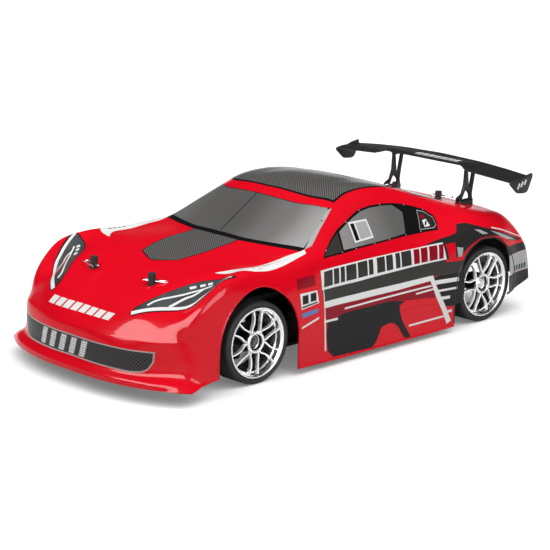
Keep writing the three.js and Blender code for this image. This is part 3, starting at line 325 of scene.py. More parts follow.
# %% Cross lines of the shell
CROSS_LINES = [
    [(0, -107, 12), (30, -106, 12), (58, -101.5, 12), (78, -95, 12), (91, -88, 12), (100, -82, 12), (105, -76, 12)],
    [(0, -107, 16), (30, -106, 16), (58, -101, 16), (78, -94, 16), (91, -86, 16), (99.5, -78, 15),
     (104.5, -71, 12.5)],
    [(0, -103, 21), (30, -102, 21), (58, -96, 21), (75, -88.5, 21), (88, -80, 21), (97, -72, 18), (102, -64, 13)],
    [(0, -102, 37), (30, -101, 37), (58, -95, 37), (77, -86, 37), (89, -76.5, 35), (97.5, -66, 27), (101, -56, 13.5)],
    [(0, -100.4, 44.5), (30, -98.8, 44.8), (56, -92.8, 45), (77, -85.2, 45.2), (89, -73.8, 44.6),
     (97.5, -60.5, 35), (100.5, -50, 14)],
    [(0, -99.6, 46), (30, -97.6, 46.6), (56, -91.4, 47.2), (77, -83.6, 47.4), (89, -72.6, 47), (97.6, -60, 37),
     (100.5, -49.6, 14)],
    [(0, -93, 53), (30, -91, 55), (55, -84, 58.5), (76, -72, 60), (90.5, -69, 57.5), (99, -54, 43), (100.5, -45, 14)],
    [(0, -79.5, 64), (30, -79.5, 64.5), (56, -75.5, 64.5), (79, -56.5, 66.8), (93.5, -58.5, 70), (100, -46, 54),
     (100.5, -38, 12)],
    [(0, -51, 75.5), (30, -51, 76), (56, -49, 77.5), (83, -42, 76.5), (94.5, -40, 83.5), (101, -30, 60),
     (100.5, -28, 10)],
    [(0, -18, 84.3), (30, -18, 84.6), (56, -16, 85.3), (78, -14, 86.5), (92.5, -14, 87.8), (101, -10, 66),
     (100.5, -10, 8)],
    [(0, 14, 89.8), (32, 14, 89.2), (62, 16, 87.3), (78, 17, 86.2), (88, 17, 86.9), (99.5, 16, 66), (100, 16, 6)],
    [(0, 44, 94), (37, 49, 93.3), (76, 61, 91), (84, 62, 89), (91, 60, 85), (98.5, 55, 58), (99.5, 52, 5)],
    [(0, 68, 108), (34, 73, 106.5), (70, 84, 102.5), (86.5, 84, 85.5), (92.5, 82, 75), (98, 80, 44), (99.5, 80, 4.5)],
    [(0, 91, 121.5), (32, 94, 120), (61.5, 106, 114.5), (86.5, 106, 84), (92, 106, 73), (98, 106, 42),
     (99.5, 106, 4.5)],
    [(0, 106, 126), (31, 108, 125), (59, 119, 119.5), (86.5, 120, 83), (91.5, 120, 72), (98, 120, 40),
     (99.5, 120, 4.5)],
    [(0, 138, 127.7), (30, 139, 126.5), (58, 143, 121.5), (86.5, 143, 82), (91.5, 143, 72), (98, 143, 40),
     (99.5, 143, 4.5)],
    [(0, 165, 125), (29, 165, 124), (57, 167, 119), (86, 167, 82), (91.5, 167, 72), (98, 167, 42), (99.5, 167, 4.5)],
    [(0, 195, 117.5), (28, 195, 116.5), (56, 196, 112.5), (86, 196, 83), (92, 196, 75), (98.5, 196, 45),
     (99.5, 196, 4.5)],
    [(0, 226, 107.5), (28, 226, 107), (55, 226, 104), (85.5, 225, 86), (94, 225, 79), (100, 222, 52), (99.5, 220, 5)],
    [(0, 256, 97.5), (28, 256, 97.3), (56, 255, 95.5), (84, 254, 88), (94.5, 254, 80), (100.5, 252, 56),
     (99, 250, 8)],
    [(0, 285, 89), (30, 285, 89), (58, 283, 88.5), (80, 281, 86), (91, 281, 78), (97.5, 284, 52), (96, 288, 16)],
    [(0, 308, 84), (30, 308, 84), (58, 306, 83), (76, 303, 81), (87, 301, 72), (93.5, 302, 48), (93, 300, 21)],
    [(0, 321, 72), (30, 321, 72), (58, 319.5, 71), (77, 316, 69), (88, 313, 62), (92.5, 312, 45), (92.2, 309, 23.5)],
    [(0, 325.5, 60), (30, 325.5, 60), (60, 324, 59), (79, 321, 58), (89, 318, 53), (92, 317, 42), (92, 316, 25.5)],
    [(0, 325.7, 27), (30, 325.7, 27), (60, 324.8, 27), (79, 323.5, 27), (88, 322, 27), (91, 321, 27), (92, 320, 27)],
]
POINTS_PER_LINE = 7
LENGTH_STEPS = 8
ACROSS_STEPS = 8
SAME_SPOT = 1e-6


def point_along(points, t):
    last = len(points) - 1
    whole = min(int(last * t), last - 1)
    share = last * t - whole
    here, after = points[whole], points[whole + 1]
    before = points[whole - 1] if whole > 0 else here * 2 - after
    beyond = points[whole + 2] if whole + 2 <= last else after * 2 - here
    gaps = [math.sqrt((b - a).length) for a, b in ((before, here), (here, after), (after, beyond))]
    middle = gaps[1] if gaps[1] > SAME_SPOT else 1.0
    first = gaps[0] if gaps[0] > SAME_SPOT else middle
    third = gaps[2] if gaps[2] > SAME_SPOT else middle
    leave = ((here - before) / first - (after - before) / (first + middle) + (after - here) / middle) * middle
    reach = ((after - here) / middle - (beyond - here) / (middle + third) + (beyond - after) / third) * middle
    turn = (after - here) * 3 - leave * 2 - reach
    close = (here - after) * 2 + leave + reach
    return here + leave * share + turn * share ** 2 + close * share ** 3


def through(points, steps):
    count = (len(points) - 1) * steps
    return [point_along(points, i / count) for i in range(count + 1)]


def shell_grid():
    columns = [through([Vector(row[c]) for row in CROSS_LINES], LENGTH_STEPS) for c in range(POINTS_PER_LINE)]
    grid = []
    for r in range(len(columns[0])):
        left = [column[r] for column in columns]
        right = [Vector((-p.x, p.y, p.z)) for p in reversed(left[1:])]
        grid.append(through(right + left, ACROSS_STEPS))
    return grid


grid = shell_grid()
print("shell grid", len(grid), "by", len(grid[0]))

# %% [markdown]
# The grid becomes a mesh. Then the wheel arches are cut: an edge that crosses the arch's outline is split
# exactly on it, the faces are divided there, and what lies inside the arch is taken away. The round holes for
# the body posts are cut the same way. This leaves clean edges without disturbing the smooth surface.

# %% Cut outlines out of a surface
ARCHES = ((-4, 41, 44.5), (WHEELBASE - 4, 40, 41))
ARCH_INSIDE = 59
POST_PLACES = ((34.2, -53), (25, 276.4))
POST_HOLE = 3.8
POSTS_ABOVE = 60
CUT_STEPS = 24
NEAREST_CUT = 0.001


def arch_depth(p):
    deepest = -1.0
    if abs(p.x) < ARCH_INSIDE:
        return deepest
    for middle, half, high in ARCHES:
        along = (p.y - middle) / half
        up = (p.z - AXLE_Z) / high if p.z > AXLE_Z else 0.0
        deepest = max(deepest, 1 - math.hypot(along, up))
    return deepest


def post_depth(p):
    if p.z < POSTS_ABOVE:
        return -1.0
    return max(1 - math.hypot((abs(p.x) - x) / POST_HOLE, (p.y - y) / POST_HOLE) for x, y in POST_PLACES)


def carve(bm, depth):
    value = {v: depth(v.co) for v in bm.verts}
    fresh = set()
    for edge in list(bm.edges):
        a, b = edge.verts
        if (value[a] > 0) == (value[b] > 0):
            continue
        low, high = (0.0, 1.0) if value[a] <= 0 else (1.0, 0.0)
        start, end = a.co.copy(), b.co.copy()
        for _ in range(CUT_STEPS):
            middle = (low + high) / 2
            if depth(start.lerp(end, middle)) > 0:
                high = middle
            else:
                low = middle
        share = min(max((low + high) / 2, NEAREST_CUT), 1 - NEAREST_CUT)
        spot = start.lerp(end, share)
        new = bmesh.utils.edge_split(edge, a, share)[1]
        new.co = spot
        fresh.add(new)
    for face in list(bm.faces):
        ends = [v for v in face.verts if v in fresh]
        if len(ends) == 2:
            try:
                bmesh.utils.face_split(face, ends[0], ends[1])
            except ValueError:
                pass
    inside = [f for f in bm.faces if depth(f.calc_center_median()) > 0]
    bmesh.ops.delete(bm, geom=inside, context="FACES")
    bmesh.ops.delete(bm, geom=[v for v in bm.verts if not v.link_faces], context="VERTS")


def surface_from_grid(rows):
    bm = bmesh.new()
    verts = [[bm.verts.new(p) for p in row] for row in rows]
    for r in range(len(rows) - 1):
        for c in range(len(rows[0]) - 1):
            bm.faces.new((verts[r][c], verts[r][c + 1], verts[r + 1][c + 1], verts[r + 1][c]))
    bm.normal_update()
    return bm


# %% [markdown]
# Here the shell itself is made. A copy of its outside is kept as a search tree, because prints, windows and lips
# are laid onto that surface later. The wall is given its thickness inwards, with a dark lining inside.

# %% Build the shell
def new_piece(name, mesh, *looks):
    for look in looks:
        mesh.materials.append(look)
    mesh.shade_smooth()
    piece = bpy.data.objects.new(name, mesh)
    bpy.context.scene.collection.objects.link(piece)
    return piece


def finish_piece(bm, name, *looks, placed=False):
    mesh = bpy.data.meshes.new(name)
    if not placed:
        for v in bm.verts:
            v.co = place(*v.co)
    bm.to_mesh(mesh)
    bm.free()
    return new_piece(name, mesh, *looks)


def only(piece):
    bpy.ops.object.select_all(action="DESELECT")
    piece.select_set(True)
    bpy.context.view_layer.objects.active = piece


def crisp(piece, degrees):
    only(piece)
    bpy.ops.object.shade_smooth_by_angle(angle=math.radians(degrees))
    return piece


def dress(piece, body, slot, node=None):
    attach(piece, body)
    if node:
        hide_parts(node)


skin = surface_from_grid(grid)
skin.faces.ensure_lookup_table()
if sum(f.normal.z for f in skin.faces if f.calc_center_median().z > 100) < 0:
    bmesh.ops.reverse_faces(skin, faces=skin.faces)
    skin.normal_update()
skin_tree = BVHTree.FromBMesh(skin)
skin_faces = [[v.index for v in f.verts] for f in skin.faces]
skin_points = [v.co.copy() for v in skin.verts]
skin_normals = [v.normal.copy() for v in skin.verts]

carve(skin, arch_depth)
carve(skin, post_depth)
shell = finish_piece(skin, "shell", red_paint, lining)
wall = shell.modifiers.new("wall", "SOLIDIFY")
wall.thickness = SHELL_WALL / 1000
wall.offset = -1
wall.material_offset = 1
wall.use_even_offset = False
only(shell)
bpy.ops.object.modifier_apply(modifier="wall")
crisp(shell, 40)
dress(shell, "shell", "red_shell", "body_shell")
print("shell faces", len(shell.data.polygons))

# %% [markdown]
# ## Prints and windows
# On the real car everything from the lamps to the stripes is printed on film and stuck to the shell. Each print
# is drawn here as a flat outline, cut into small squares, dropped onto the shell along one direction and
# lifted a little. It takes its smooth shading from the shell below, so it bends with it. An image texture could do
# this too, but outlines stay sharp at any distance. A view gives the two directions in which an outline is drawn,
# and the way in which it is dropped.

# %% Find the surface below a print
SIDE = (1, 2, Vector((-1, 0, 0)))
TOP = (0, 1, Vector((0, 0, -1)))
NOSE = (0, 2, Vector((0, 1, 0)))
TAIL = (0, 2, Vector((0, -1, 0)))

SLOT_OF_LOOK = {
    "red_paint": "red_shell", "crimson_print": "red_shell", "rim_silver": "chrome", "white_print": "white_print",
    "pale_print": "white_print", "blue_print": "white_print", "hatched_print": "white_print",
    "screen_tint": "window_smoke", "side_tint": "window_smoke", "lamp_reflector": "window_smoke",
}


FAR_OUT = 400
MISSED_STEP = 60


def on_face(spot, face):
    corners = skin_faces[face]
    normal = Vector()
    for i, share in zip(corners, poly_3d_calc([skin_points[i] for i in corners], spot)):
        normal += skin_normals[i] * share
    return spot, normal.normalized()


def nearest_on_shell(point):
    spot, _, face, _ = skin_tree.find_nearest(point)
    return on_face(spot, face)


def surface_below(start, toward):
    spot, _, face, _ = skin_tree.ray_cast(start, toward)
    return nearest_on_shell(start + toward * MISSED_STEP) if spot is None else on_face(spot, face)


def flipped(p):
    return Vector((-p.x, p.y, p.z))


def on_both_flanks(points, normals, faces):
    base = len(points)
    return (points + [flipped(p) for p in points], normals + [flipped(n) for n in normals],
            faces + [[base + i for i in reversed(f)] for f in faces])


def sheet_piece(name, look, sheet, slot=None, bent=True):
    points, normals, faces = sheet
    mesh = bpy.data.meshes.new(name)
    mesh.from_pydata([place(*p) for p in points], [], faces)
    piece = new_piece(name, mesh, look)
    if bent:
        mesh.normals_split_custom_set_from_vertices(normals)
    else:
        mesh.shade_flat()
    dress(piece, "shell", slot or SLOT_OF_LOOK.get(look.name, "graphite_print"))


def facing_out(face, points, normals):
    a, b, c = (points[i] for i in face[:3])
    return face[::-1] if (b - a).cross(c - a).dot(normals[face[0]]) < 0 else face


# %% [markdown]
# A flat outline has no points inside, so it couldn't bend. It is filled with triangles and then cut along a grid
# of planes by bisect, which gives it points enough to follow the shell.

# %% Cut an outline into small squares
def sliced_sheet(outline, grid_size):
    bm = bmesh.new()
    flat = [Vector((a, b, 0)) for a, b in outline]
    verts = [bm.verts.new(p) for p in flat]
    for corners in tessellate_polygon([flat]):
        try:
            bm.faces.new([verts[i] for i in corners])
        except ValueError:
            pass
    for axis in (0, 1):
        low = min(p[axis] for p in flat)
        high = max(p[axis] for p in flat)
        normal = Vector((1, 0, 0)) if axis == 0 else Vector((0, 1, 0))
        for k in range(1, int((high - low) / grid_size) + 1):
            geometry = bm.verts[:] + bm.edges[:] + bm.faces[:]
            cut = normal * (low + k * grid_size)
            bmesh.ops.bisect_plane(bm, geom=geometry, dist=1e-5, plane_co=cut, plane_no=normal)
    return bm


def dropped(outlines, grid_size, lift, ground):
    points, normals, faces = [], [], []
    for outline in outlines:
        sheet = sliced_sheet(outline, grid_size)
        sheet.verts.index_update()
        base = len(points)
        for v in sheet.verts:
            spot, normal = ground(v.co.x, v.co.y)
            points.append(spot + normal * lift)
            normals.append(normal)
        faces += [facing_out([base + v.index for v in f.verts], points, normals) for f in sheet.faces]
        sheet.free()
    return points, normals, faces


# %% [markdown]
# What is seen from the side lies on both flanks, so its mirror image is added. The number after each look is its
# lift in millimetres: films that overlap have different lifts, so they never share a plane.

# %% Lay outlines on the shell
def lay(view, name, look, lift, *outlines, slot=None, grid_size=2.0):
    across, up, toward = view

    def ground(a, b):
        start = -toward * FAR_OUT
        start[across], start[up] = a, b
        return surface_below(start, toward)
    sheet = dropped(outlines, grid_size, lift, ground)
    sheet_piece(name, look, on_both_flanks(*sheet) if view is SIDE else sheet, slot)


# %% [markdown]
# Most prints are bars, slanted blocks, bent strokes, or outlines that mirror about the middle of the car. Each of
# those shapes gets a short helper, so that a print is a few numbers.

# %% Shapes of the prints
def bar(start, end, width):
    a, b = Vector(start), Vector(end)
    side = Vector((a.y - b.y, b.x - a.x)).normalized() * width / 2
    return [tuple(a + side), tuple(a - side), tuple(b - side), tuple(b + side)]


def bars(*rows):
    return [bar(row[:2], row[2:4], row[4]) for row in rows]


def slanted(start, end, low, high, lean=2.2):
    return [(start, low), (end, low), (end + lean, high), (start + lean, high)]


def stroke(points, width):
    track = [Vector(p) for p in points]
    left, right = [], []
    for i, p in enumerate(track):
        before = track[max(i - 1, 0)]
        after = track[min(i + 1, len(track) - 1)]
        along = (after - before).normalized()
        side = Vector((-along.y, along.x)) * width / 2
        left.append(tuple(p + side))
        right.append(tuple(p - side))
    return left + right[::-1]


def smooth(points, steps=4):
    line = through([Vector((a, b, 0)) for a, b in points], steps)
    return [(p.x, p.y) for p in line]


def mirrored(half):
    return half + [(-a, b) for a, b in reversed(half) if abs(a) > 0.01]


def left_and_right(*outlines):
    return [*outlines, *([(-a, b) for a, b in outline] for outline in outlines)]


# %% [markdown]
# The glass: a wide screen in front, a long side window with a quarter pane behind the door, and a rear window.
# A real shell of this kind has them tinted and edged with a narrow black line.

# %% Windows
SCREEN_BASE = [(0, 40.3), (28, 42.3), (54, 49.8), (77.8, 58.8)]
SCREEN = mirrored(smooth(SCREEN_BASE) + [(78, 64), (70, 88), (62, 106.5)] + smooth([(59, 102.5), (42, 93),
                  (24, 88.5), (0, 87)]))
SIDE_GLASS = [(72.5, 84), (91, 95.5), (101.5, 100.5), (112.5, 104.2), (121, 107.5), (131, 110.5), (144, 111.7),
              (157, 111.2), (171, 109.8), (185, 107), (197, 103.5), (208.5, 99.5), (214, 94.5), (213, 90),
              (208.5, 85), (194, 85.3), (170.5, 85.5), (140, 85), (116, 84.7), (98, 84)]
DOOR_PANE = [(102, 98.5), (113, 102.8), (122, 106), (132, 109), (144, 110.2), (157, 109.8), (171, 108.3),
             (179.5, 102), (172, 87.3), (150, 86.3), (120, 86), (98.5, 86)]
QUARTER_PANE = [(198, 100.5), (206, 98), (211.5, 93.5), (210, 88.5), (206, 86.8), (190, 87.5)]
INNER_BASE = [(0, 45.2), (28, 47.2), (54, 54.6), (76.5, 63.6)]
INNER_SCREEN = mirrored(smooth(INNER_BASE) + [(68.8, 87), (61.2, 104.8)] + smooth([(58.5, 101.6), (42, 92.3),
                        (24, 87.8), (0, 86.3)]))
PILLAR_STRIPE = [(78.4, 62), (70.8, 79), (64, 93.5), (62, 100), (62.6, 107.5), (66.5, 98.5), (71.6, 86), (78.8, 70)]
CORNER_PANE = [(75, 84.9), (91, 94.3), (99.6, 98.2), (96.6, 85)]
RIVETS = [(80, 88.3), (96, 84.9), (112.2, 85.1), (134, 85.5), (152, 85.9), (172, 86.2), (190, 86.3), (113, 103.9),
          (131.5, 109.9), (157, 110.8), (186, 106.2), (206, 99.6)]
REAR_WINDOW = mirrored([(0, 205), (48, 206), (54, 214), (50, 256), (40, 262), (0, 263)])
REAR_PANE = mirrored([(0, 207.5), (46, 208.5), (51, 215), (47.5, 254), (38.5, 259.5), (0, 260.5)])
lay(TOP, "screen_edge", black_print, 0.12, SCREEN)
lay(TOP, "screen_pane", screen_tint, 0.2, INNER_SCREEN)
lay(SIDE, "side_window_edge", black_print, 0.12, SIDE_GLASS)
lay(SIDE, "side_window_panes", side_tint, 0.2, DOOR_PANE)
lay(SIDE, "corner_panes", charcoal_print, 0.2, CORNER_PANE, slot="window_smoke")
lay(SIDE, "quarter_panes", sweep_print, 0.2, QUARTER_PANE, slot="window_smoke")
quarter_sides = [bar(a, b, 0.5) for a, b in zip(QUARTER_PANE, QUARTER_PANE[1:] + QUARTER_PANE[:1])]
lay(SIDE, "quarter_outline", pale_print, 0.26, *quarter_sides)
lay(SIDE, "quarter_sticker", white_print, 0.26, [(197.4, 93.2), (202.6, 93.6), (203, 88.6), (196.6, 88.4)])
lay(SIDE, "quarter_sticker_top", crimson_print, 0.26, [(198, 96.8), (202.6, 96.6), (202.8, 94.6), (197.6, 94.3)])
lay(SIDE, "quarter_sticker_slots", sweep_print, 0.34, bar((198.2, 89.6), (201.6, 92.2), 1.4))
RIVET = 0.5
HEXAGON = [(RIVET * math.cos(k * math.pi / 3), RIVET * math.sin(k * math.pi / 3)) for k in range(6)]
lay(SIDE, "window_rivets", pale_print, 0.3, *[[(y + a, z + b) for a, b in HEXAGON] for y, z in RIVETS], slot="steel")
lay(TOP, "pillar_stripes", pale_print, 0.16, *left_and_right(PILLAR_STRIPE))
lay(TOP, "screen_centre_line", black_print, 0.26, bar((0, 47), (0, 86.2), 0.8))
lay(TOP, "rear_window_edge", black_print, 0.12, REAR_WINDOW)
lay(TOP, "rear_window_pane", screen_tint, 0.2, REAR_PANE)

# %% [markdown]
# The roof and the middle of the hood carry a printed carbon pattern with a narrow black border.

# %% Carbon prints on roof and hood
ROOF_SIDE = [(60, 113.5), (59, 118.5), (57, 128), (56, 137.5), (55, 147.5), (53, 163.5), (49, 183), (45, 200)]
ROOF_FRONT = [(0, 96.5), (26, 98), (45, 102.5), (60, 112.5)]
ROOF = mirrored(smooth(ROOF_FRONT) + smooth(ROOF_SIDE) + [(0, 202)])
ROOF_INNER = mirrored(smooth([(0, 98.3), (26, 99.8), (44, 104.2), (58.4, 113.8)]) + smooth([(57.5, 118.5),
                      (55.5, 128), (54.5, 138), (53.5, 148), (51.5, 163.5), (47.5, 183), (44, 198)]) + [(0, 200)])
HOOD_PANEL = mirrored([(0, -23.6), (3, -23.3), (20.5, -16), (24.5, -2), (26.5, 13), (25, 43), (14, 42), (0, 41.5)])
HOOD_BORDER = mirrored([(0, -24.6), (3.3, -24.3), (21.2, -16.7), (25.5, -2.2), (27.4, 13), (25.9, 43), (14, 42),
                       (0, 41.5)])
lay(TOP, "roof_border", black_print, 0.12, ROOF)
lay(TOP, "roof_carbon", carbon, 0.2, ROOF_INNER)
lay(TOP, "hood_border", black_print, 0.05, HOOD_BORDER)
lay(TOP, "hood_carbon", carbon, 0.09, HOOD_PANEL)

# %% [markdown]
# The flanks carry the loudest prints: a charcoal band, a long white stripe that turns down behind the door, a
# crimson field with thin lines, and a dark pod above the sill.

# %% Prints on the flanks
CHARCOAL_BAND = [(64, 62.5), (108, 62), (154, 62), (206.5, 63), (206, 60.5), (226, 59.5), (222, 48), (190.5, 51.5),
                 (152, 52), (64.5, 53)]
CRIMSON_FIELD = [(64.5, 48), (106, 47.5), (152, 47.3), (187, 48.5), (193.5, 34), (157, 37.5), (139.5, 40), (88, 40),
                 (65, 37.5)]
WHITE_STRIPE = [(64.5, 53), (106, 52.5), (152.5, 52), (190.5, 52.2), (194, 42), (202.5, 27.5), (211.5, 11),
                (206.5, 9), (200.5, 21), (193, 34), (187, 48.3), (152, 47.2), (105.5, 47.5), (64.5, 48)]
THIN_LINES = bars((88, 43.5, 188, 44.2, 1.4), (169.5, 40.6, 190, 41.2, 1.4), (161, 16, 203, 16.3, 1.6),
                  (64, 37.5, 80, 37, 1.8), (65.2, 40, 66, 14, 1.6), (65.2, 63, 65.2, 40, 1.0))
REAR_BARS = bars((192, 46, 219, 45, 3.4), (195, 38.7, 217, 38, 1.8), (198, 32, 209, 31.5, 2.6),
                 (205.5, 19.5, 212, 19.5, 2.2))
REAR_DARK = [(191, 50.5), (226, 50.5), (226, 25), (213, 23), (203, 25)]
POD = (smooth([(68, 36.5), (88, 40), (118.5, 40), (139.5, 40), (156.5, 37)], 3) + smooth([(150, 34.5), (150.5, 30),
       (153, 22.5), (159, 13), (164, 6)], 3) + smooth([(158, 5.5), (154, 9.5), (148, 18), (141, 22.3), (134, 22),
       (128.5, 20.5), (126, 15), (121.5, 8.5)], 3) + [(118, 6.5), (93.5, 7), (75, 7.5), (69, 13), (67, 26.5)])
lay(SIDE, "flank_charcoal", charcoal_print, 0.12, CHARCOAL_BAND)
lay(SIDE, "flank_crimson", crimson_print, 0.12, CRIMSON_FIELD)
lay(SIDE, "flank_white", white_print, 0.2, WHITE_STRIPE, *THIN_LINES)
lay(SIDE, "flank_dark_panel", black_print, 0.14, REAR_DARK)
lay(SIDE, "flank_bars", white_print, 0.24, *REAR_BARS)
lay(SIDE, "flank_pod", black_print, 0.16, POD)

# %% [markdown]
# The block band runs above them: five pairs of charcoal blocks and two pairs of crimson ones, all slanted, on a
# white ground. A pair is one block cut in two by a slit, so only its start and the slit's place are given.

# %% Slanted block band
WHITE_GROUND = [(64.5, 76.8), (178.5, 75.8), (206, 76.4), (207, 62.8), (170.5, 62.4), (108, 61.6), (63.5, 62.2)]
BLOCK_FOOT, DARK_TOP, RED_TOP, SLIT = 64, 75.3, 75, 1.6


def block_pair(start, wide, whole, top):
    return [slanted(start, start + wide, BLOCK_FOOT, top),
            slanted(start + wide + SLIT, start + whole, BLOCK_FOOT, top)]


lay(SIDE, "band_ground", white_print, 0.2, WHITE_GROUND)
dark_blocks, red_blocks = [], []
for start, wide in ((66, 10.5), (86, 4.8), (106, 11.5), (128.5, 9), (150, 5.2)):
    dark_blocks += block_pair(start, wide, 18.2, DARK_TOP)
for start, wide in ((171, 6.5), (188.5, 9.0)):
    red_blocks += block_pair(start, wide, 15.5, RED_TOP)
lay(SIDE, "band_blocks_dark", charcoal_print, 0.28, *dark_blocks)
lay(SIDE, "band_blocks_red", crimson_print, 0.28, *red_blocks)

# %% [markdown]
# The quarter behind the door has a dark sweep over the wheel with pale flashes in it, and a few small plain tiles
# sit behind the front wheel.

# %% Rear quarter and fender prints
QUARTER_SWEEP = [(186, 76.5), (201.5, 78.7), (216, 80.2), (223.5, 81.5), (230.5, 86.5), (240, 86.5), (252.5, 82.5),
                 (264, 79), (277, 74.7), (293.5, 68.5), (312, 62), (302, 62.5), (282.5, 67), (267.5, 71),
                 (253, 72.5), (240, 72), (231, 67.5), (224, 63), (212, 62.5), (207, 63), (206, 76)]
FLASHES = [[(244, 81.3), (250, 80.4), (259, 76), (251.5, 76.6)], [(263, 77.8), (276.5, 73.5), (302, 63),
           (282, 67.8)], [(219.5, 71), (226.5, 69.5), (224, 63), (219.5, 63)]]
TILES = [[(38.5, 64), (58, 63.5), (59, 53.5), (39, 51.8)], [(39.5, 38.2), (58.5, 42.8), (58.5, 41), (39.5, 36.6)]]
lay(SIDE, "quarter_sweep", sweep_print, 0.14, QUARTER_SWEEP)
lay(SIDE, "quarter_tile", red_paint, 0.24, [(208.5, 74.5), (218.5, 74.8), (217, 62.3), (210, 62.3)])
lay(SIDE, "quarter_flashes", pale_print, 0.24, *FLASHES)
lay(SIDE, "fender_tiles", white_print, 0.14, *TILES)
lay(SIDE, "fender_tile_dark", black_print, 0.22, slanted(40.5, 47, 55.5, 62, 0.5), slanted(49.5, 56, 56, 62.2, 0.5),
    [(40, 54), (57, 55), (57.3, 54), (40, 52.8)])
lay(SIDE, "fender_tile_blue", blue_print, 0.14, [(39.5, 48.8), (58, 49.6), (57.5, 46.4), (39.8, 45)])
lay(SIDE, "fender_tile_crimson", crimson_print, 0.14, [(38, 75.3), (57, 75), (56.5, 67.5), (36.5, 67.5)])

# %% [markdown]
# Behind the rear wheel the bumper is black below and carries a light patch, and a slim line runs along the top
# of the quarter. The tail has a black panel with red lamps and a black lower valance, as such cars have.

# %% Rear bumper and tail
BUMPER_BAND = [(283, 60.5), (298, 60), (318.5, 58.6), (318.5, 52.8), (286, 52.8)]
BUMPER_LOW = [(287, 35.4), (319.5, 35.6), (319.5, 27), (312, 24.4), (300, 21.6), (289.5, 18.6)]
BUMPER_PATCH = [(286.5, 52.5), (318.5, 52.5), (318.5, 35.8), (288, 35.8)]
CORNER_BAND = [(76, 58), (91.4, 58.4), (91.4, 52.8), (78, 52.8)]
CORNER_LOW = [(76, 35.4), (91.9, 35.6), (91.9, 27.3), (74, 27.3)]
CORNER_PATCH = [(78, 52.5), (91.4, 52.5), (91.4, 35.8), (80, 35.8)]
ARCH_LINE = smooth([(224, 62.8), (231.5, 67.6), (240.5, 71.2), (249.5, 73.4), (260.5, 73.2), (275, 70.3),
                   (291, 64)], 3)
QUARTER_LINE = smooth([(266, 79.6), (280.5, 75.4), (296, 69.6), (310.5, 64.2)], 3)
TAIL_PANEL = mirrored([(0, 74), (58, 73.5), (78, 70.5), (84, 64.5), (80, 60.5), (0, 60)])
TAIL_LAMP = [(48, 72), (60, 71.6), (76, 69.3), (81, 65), (78, 62), (50, 61.8)]
TAIL_SLITS = [[(x, 62.8), (x + 3.4, 62.8), (x + 4.2, 71), (x + 0.8, 71)] for x in (52, 59, 66)]
LOW_VALANCE = mirrored([(0, 40), (62, 40), (74, 36), (78, 28), (0, 28)])
FINS = [[(x - 0.6, 29), (x + 0.6, 29), (x + 0.6, 38.6), (x - 0.6, 38.6)] for x in (-50, -30, -10, 10, 30, 50)]
lay(SIDE, "bumper_black", black_print, 0.14, BUMPER_BAND, BUMPER_LOW, grid_size=1.0)
lay(SIDE, "bumper_patch", pale_print, 0.14, BUMPER_PATCH, grid_size=1.0)
lay(TAIL, "tail_corner_black", black_print, 0.12, *left_and_right(CORNER_BAND, CORNER_LOW), grid_size=1.0)
lay(TAIL, "tail_corner_patch", pale_print, 0.12, *left_and_right(CORNER_PATCH), grid_size=1.0)
lay(SIDE, "bumper_dashes", charcoal_print, 0.22, *[slanted(y, y + 2.4, 37.5, 42, 0.8) for y in range(295, 315, 4)])
lay(SIDE, "arch_line", red_paint, 0.26, stroke(ARCH_LINE, 1.3))
lay(SIDE, "quarter_line", white_print, 0.26, stroke(QUARTER_LINE, 0.9))
lay(TAIL, "tail_panel", black_print, 0.12, TAIL_PANEL, LOW_VALANCE)
lay(TAIL, "tail_lamps", crimson_print, 0.2, *left_and_right(TAIL_LAMP))
lay(TAIL, "tail_slits", white_print, 0.28, *left_and_right(*TAIL_SLITS))
lay(TAIL, "tail_fins", pale_print, 0.2, *FINS, slot="graphite_print")

# %% [markdown]
# A white flash runs over the front fender to the foot of the screen, a row of plain slanted blocks crosses the
# nose, and a small board sits in the side window.

# %% Fender flash, nose blocks, number board
FENDER_FLASH = (smooth([(68, -20.5), (74.7, -12.5), (78.4, -4.3), (79.4, 4.4), (78.6, 16.1), (78.4, 26.1),
                (78.1, 36.9), (77, 48.4), (78.4, 62.5)], 3) + smooth([(83, 60), (88, 41), (89.5, 29), (90.5, 16.5),
                (91.3, 5.5), (91, -6), (85, -15.5), (71, -20.5)], 3))
FLASH_DASHES = [bar((84.2, 2 + 5 * i), (84.4, 5 + 5 * i), 1.3) for i in range(4)]
NOSE_BLOCKS = [slanted(-42 + 9.3 * i, -34.6 + 9.3 * i, 53 + 0.1 * i, 58.4, 2.2) for i in range(8)]
FLASH_END, FAR_SHARE = 60, 0.87
far_flash = [(-x, FLASH_END - (FLASH_END - y) * FAR_SHARE) for x, y in FENDER_FLASH]
lay(TOP, "fender_flash", white_print, 0.12, FENDER_FLASH, far_flash)
lay(TOP, "flash_dashes", charcoal_print, 0.2, *left_and_right(*FLASH_DASHES))
lay(NOSE, "nose_blocks", white_print, 0.12, *NOSE_BLOCKS)
lay(SIDE, "number_board", white_print, 0.28, [(114.5, 103.4), (135, 103.4), (135.5, 89.6), (113.5, 88.8)])
lay(SIDE, "number_board_bar", black_print, 0.36, [(116, 102.2), (120, 102.2), (119.4, 90.2), (115.2, 90)])
lay(SIDE, "number_board_field", pale_print, 0.36, [(121.5, 102.2), (133.6, 102.2), (133.9, 91), (121, 90.4)])

# %% [markdown]
# ## Headlamps
# Each lamp is a print too: a grey field with a dark edge, a thick white line along its foot, two slim ones and
# three short blocks. It sits where the nose turns into the fender, so it is laid on along a slanting direction.

# %% Headlamp prints
LAMP_LOOK = Vector((-0.42, 0.45, -0.79)).normalized()
LAMP_RIGHT = Vector((0, 0, 1)).cross(-LAMP_LOOK).normalized()
LAMP_UP = (-LAMP_LOOK).cross(LAMP_RIGHT)
LAMP_DISTANCE = 300


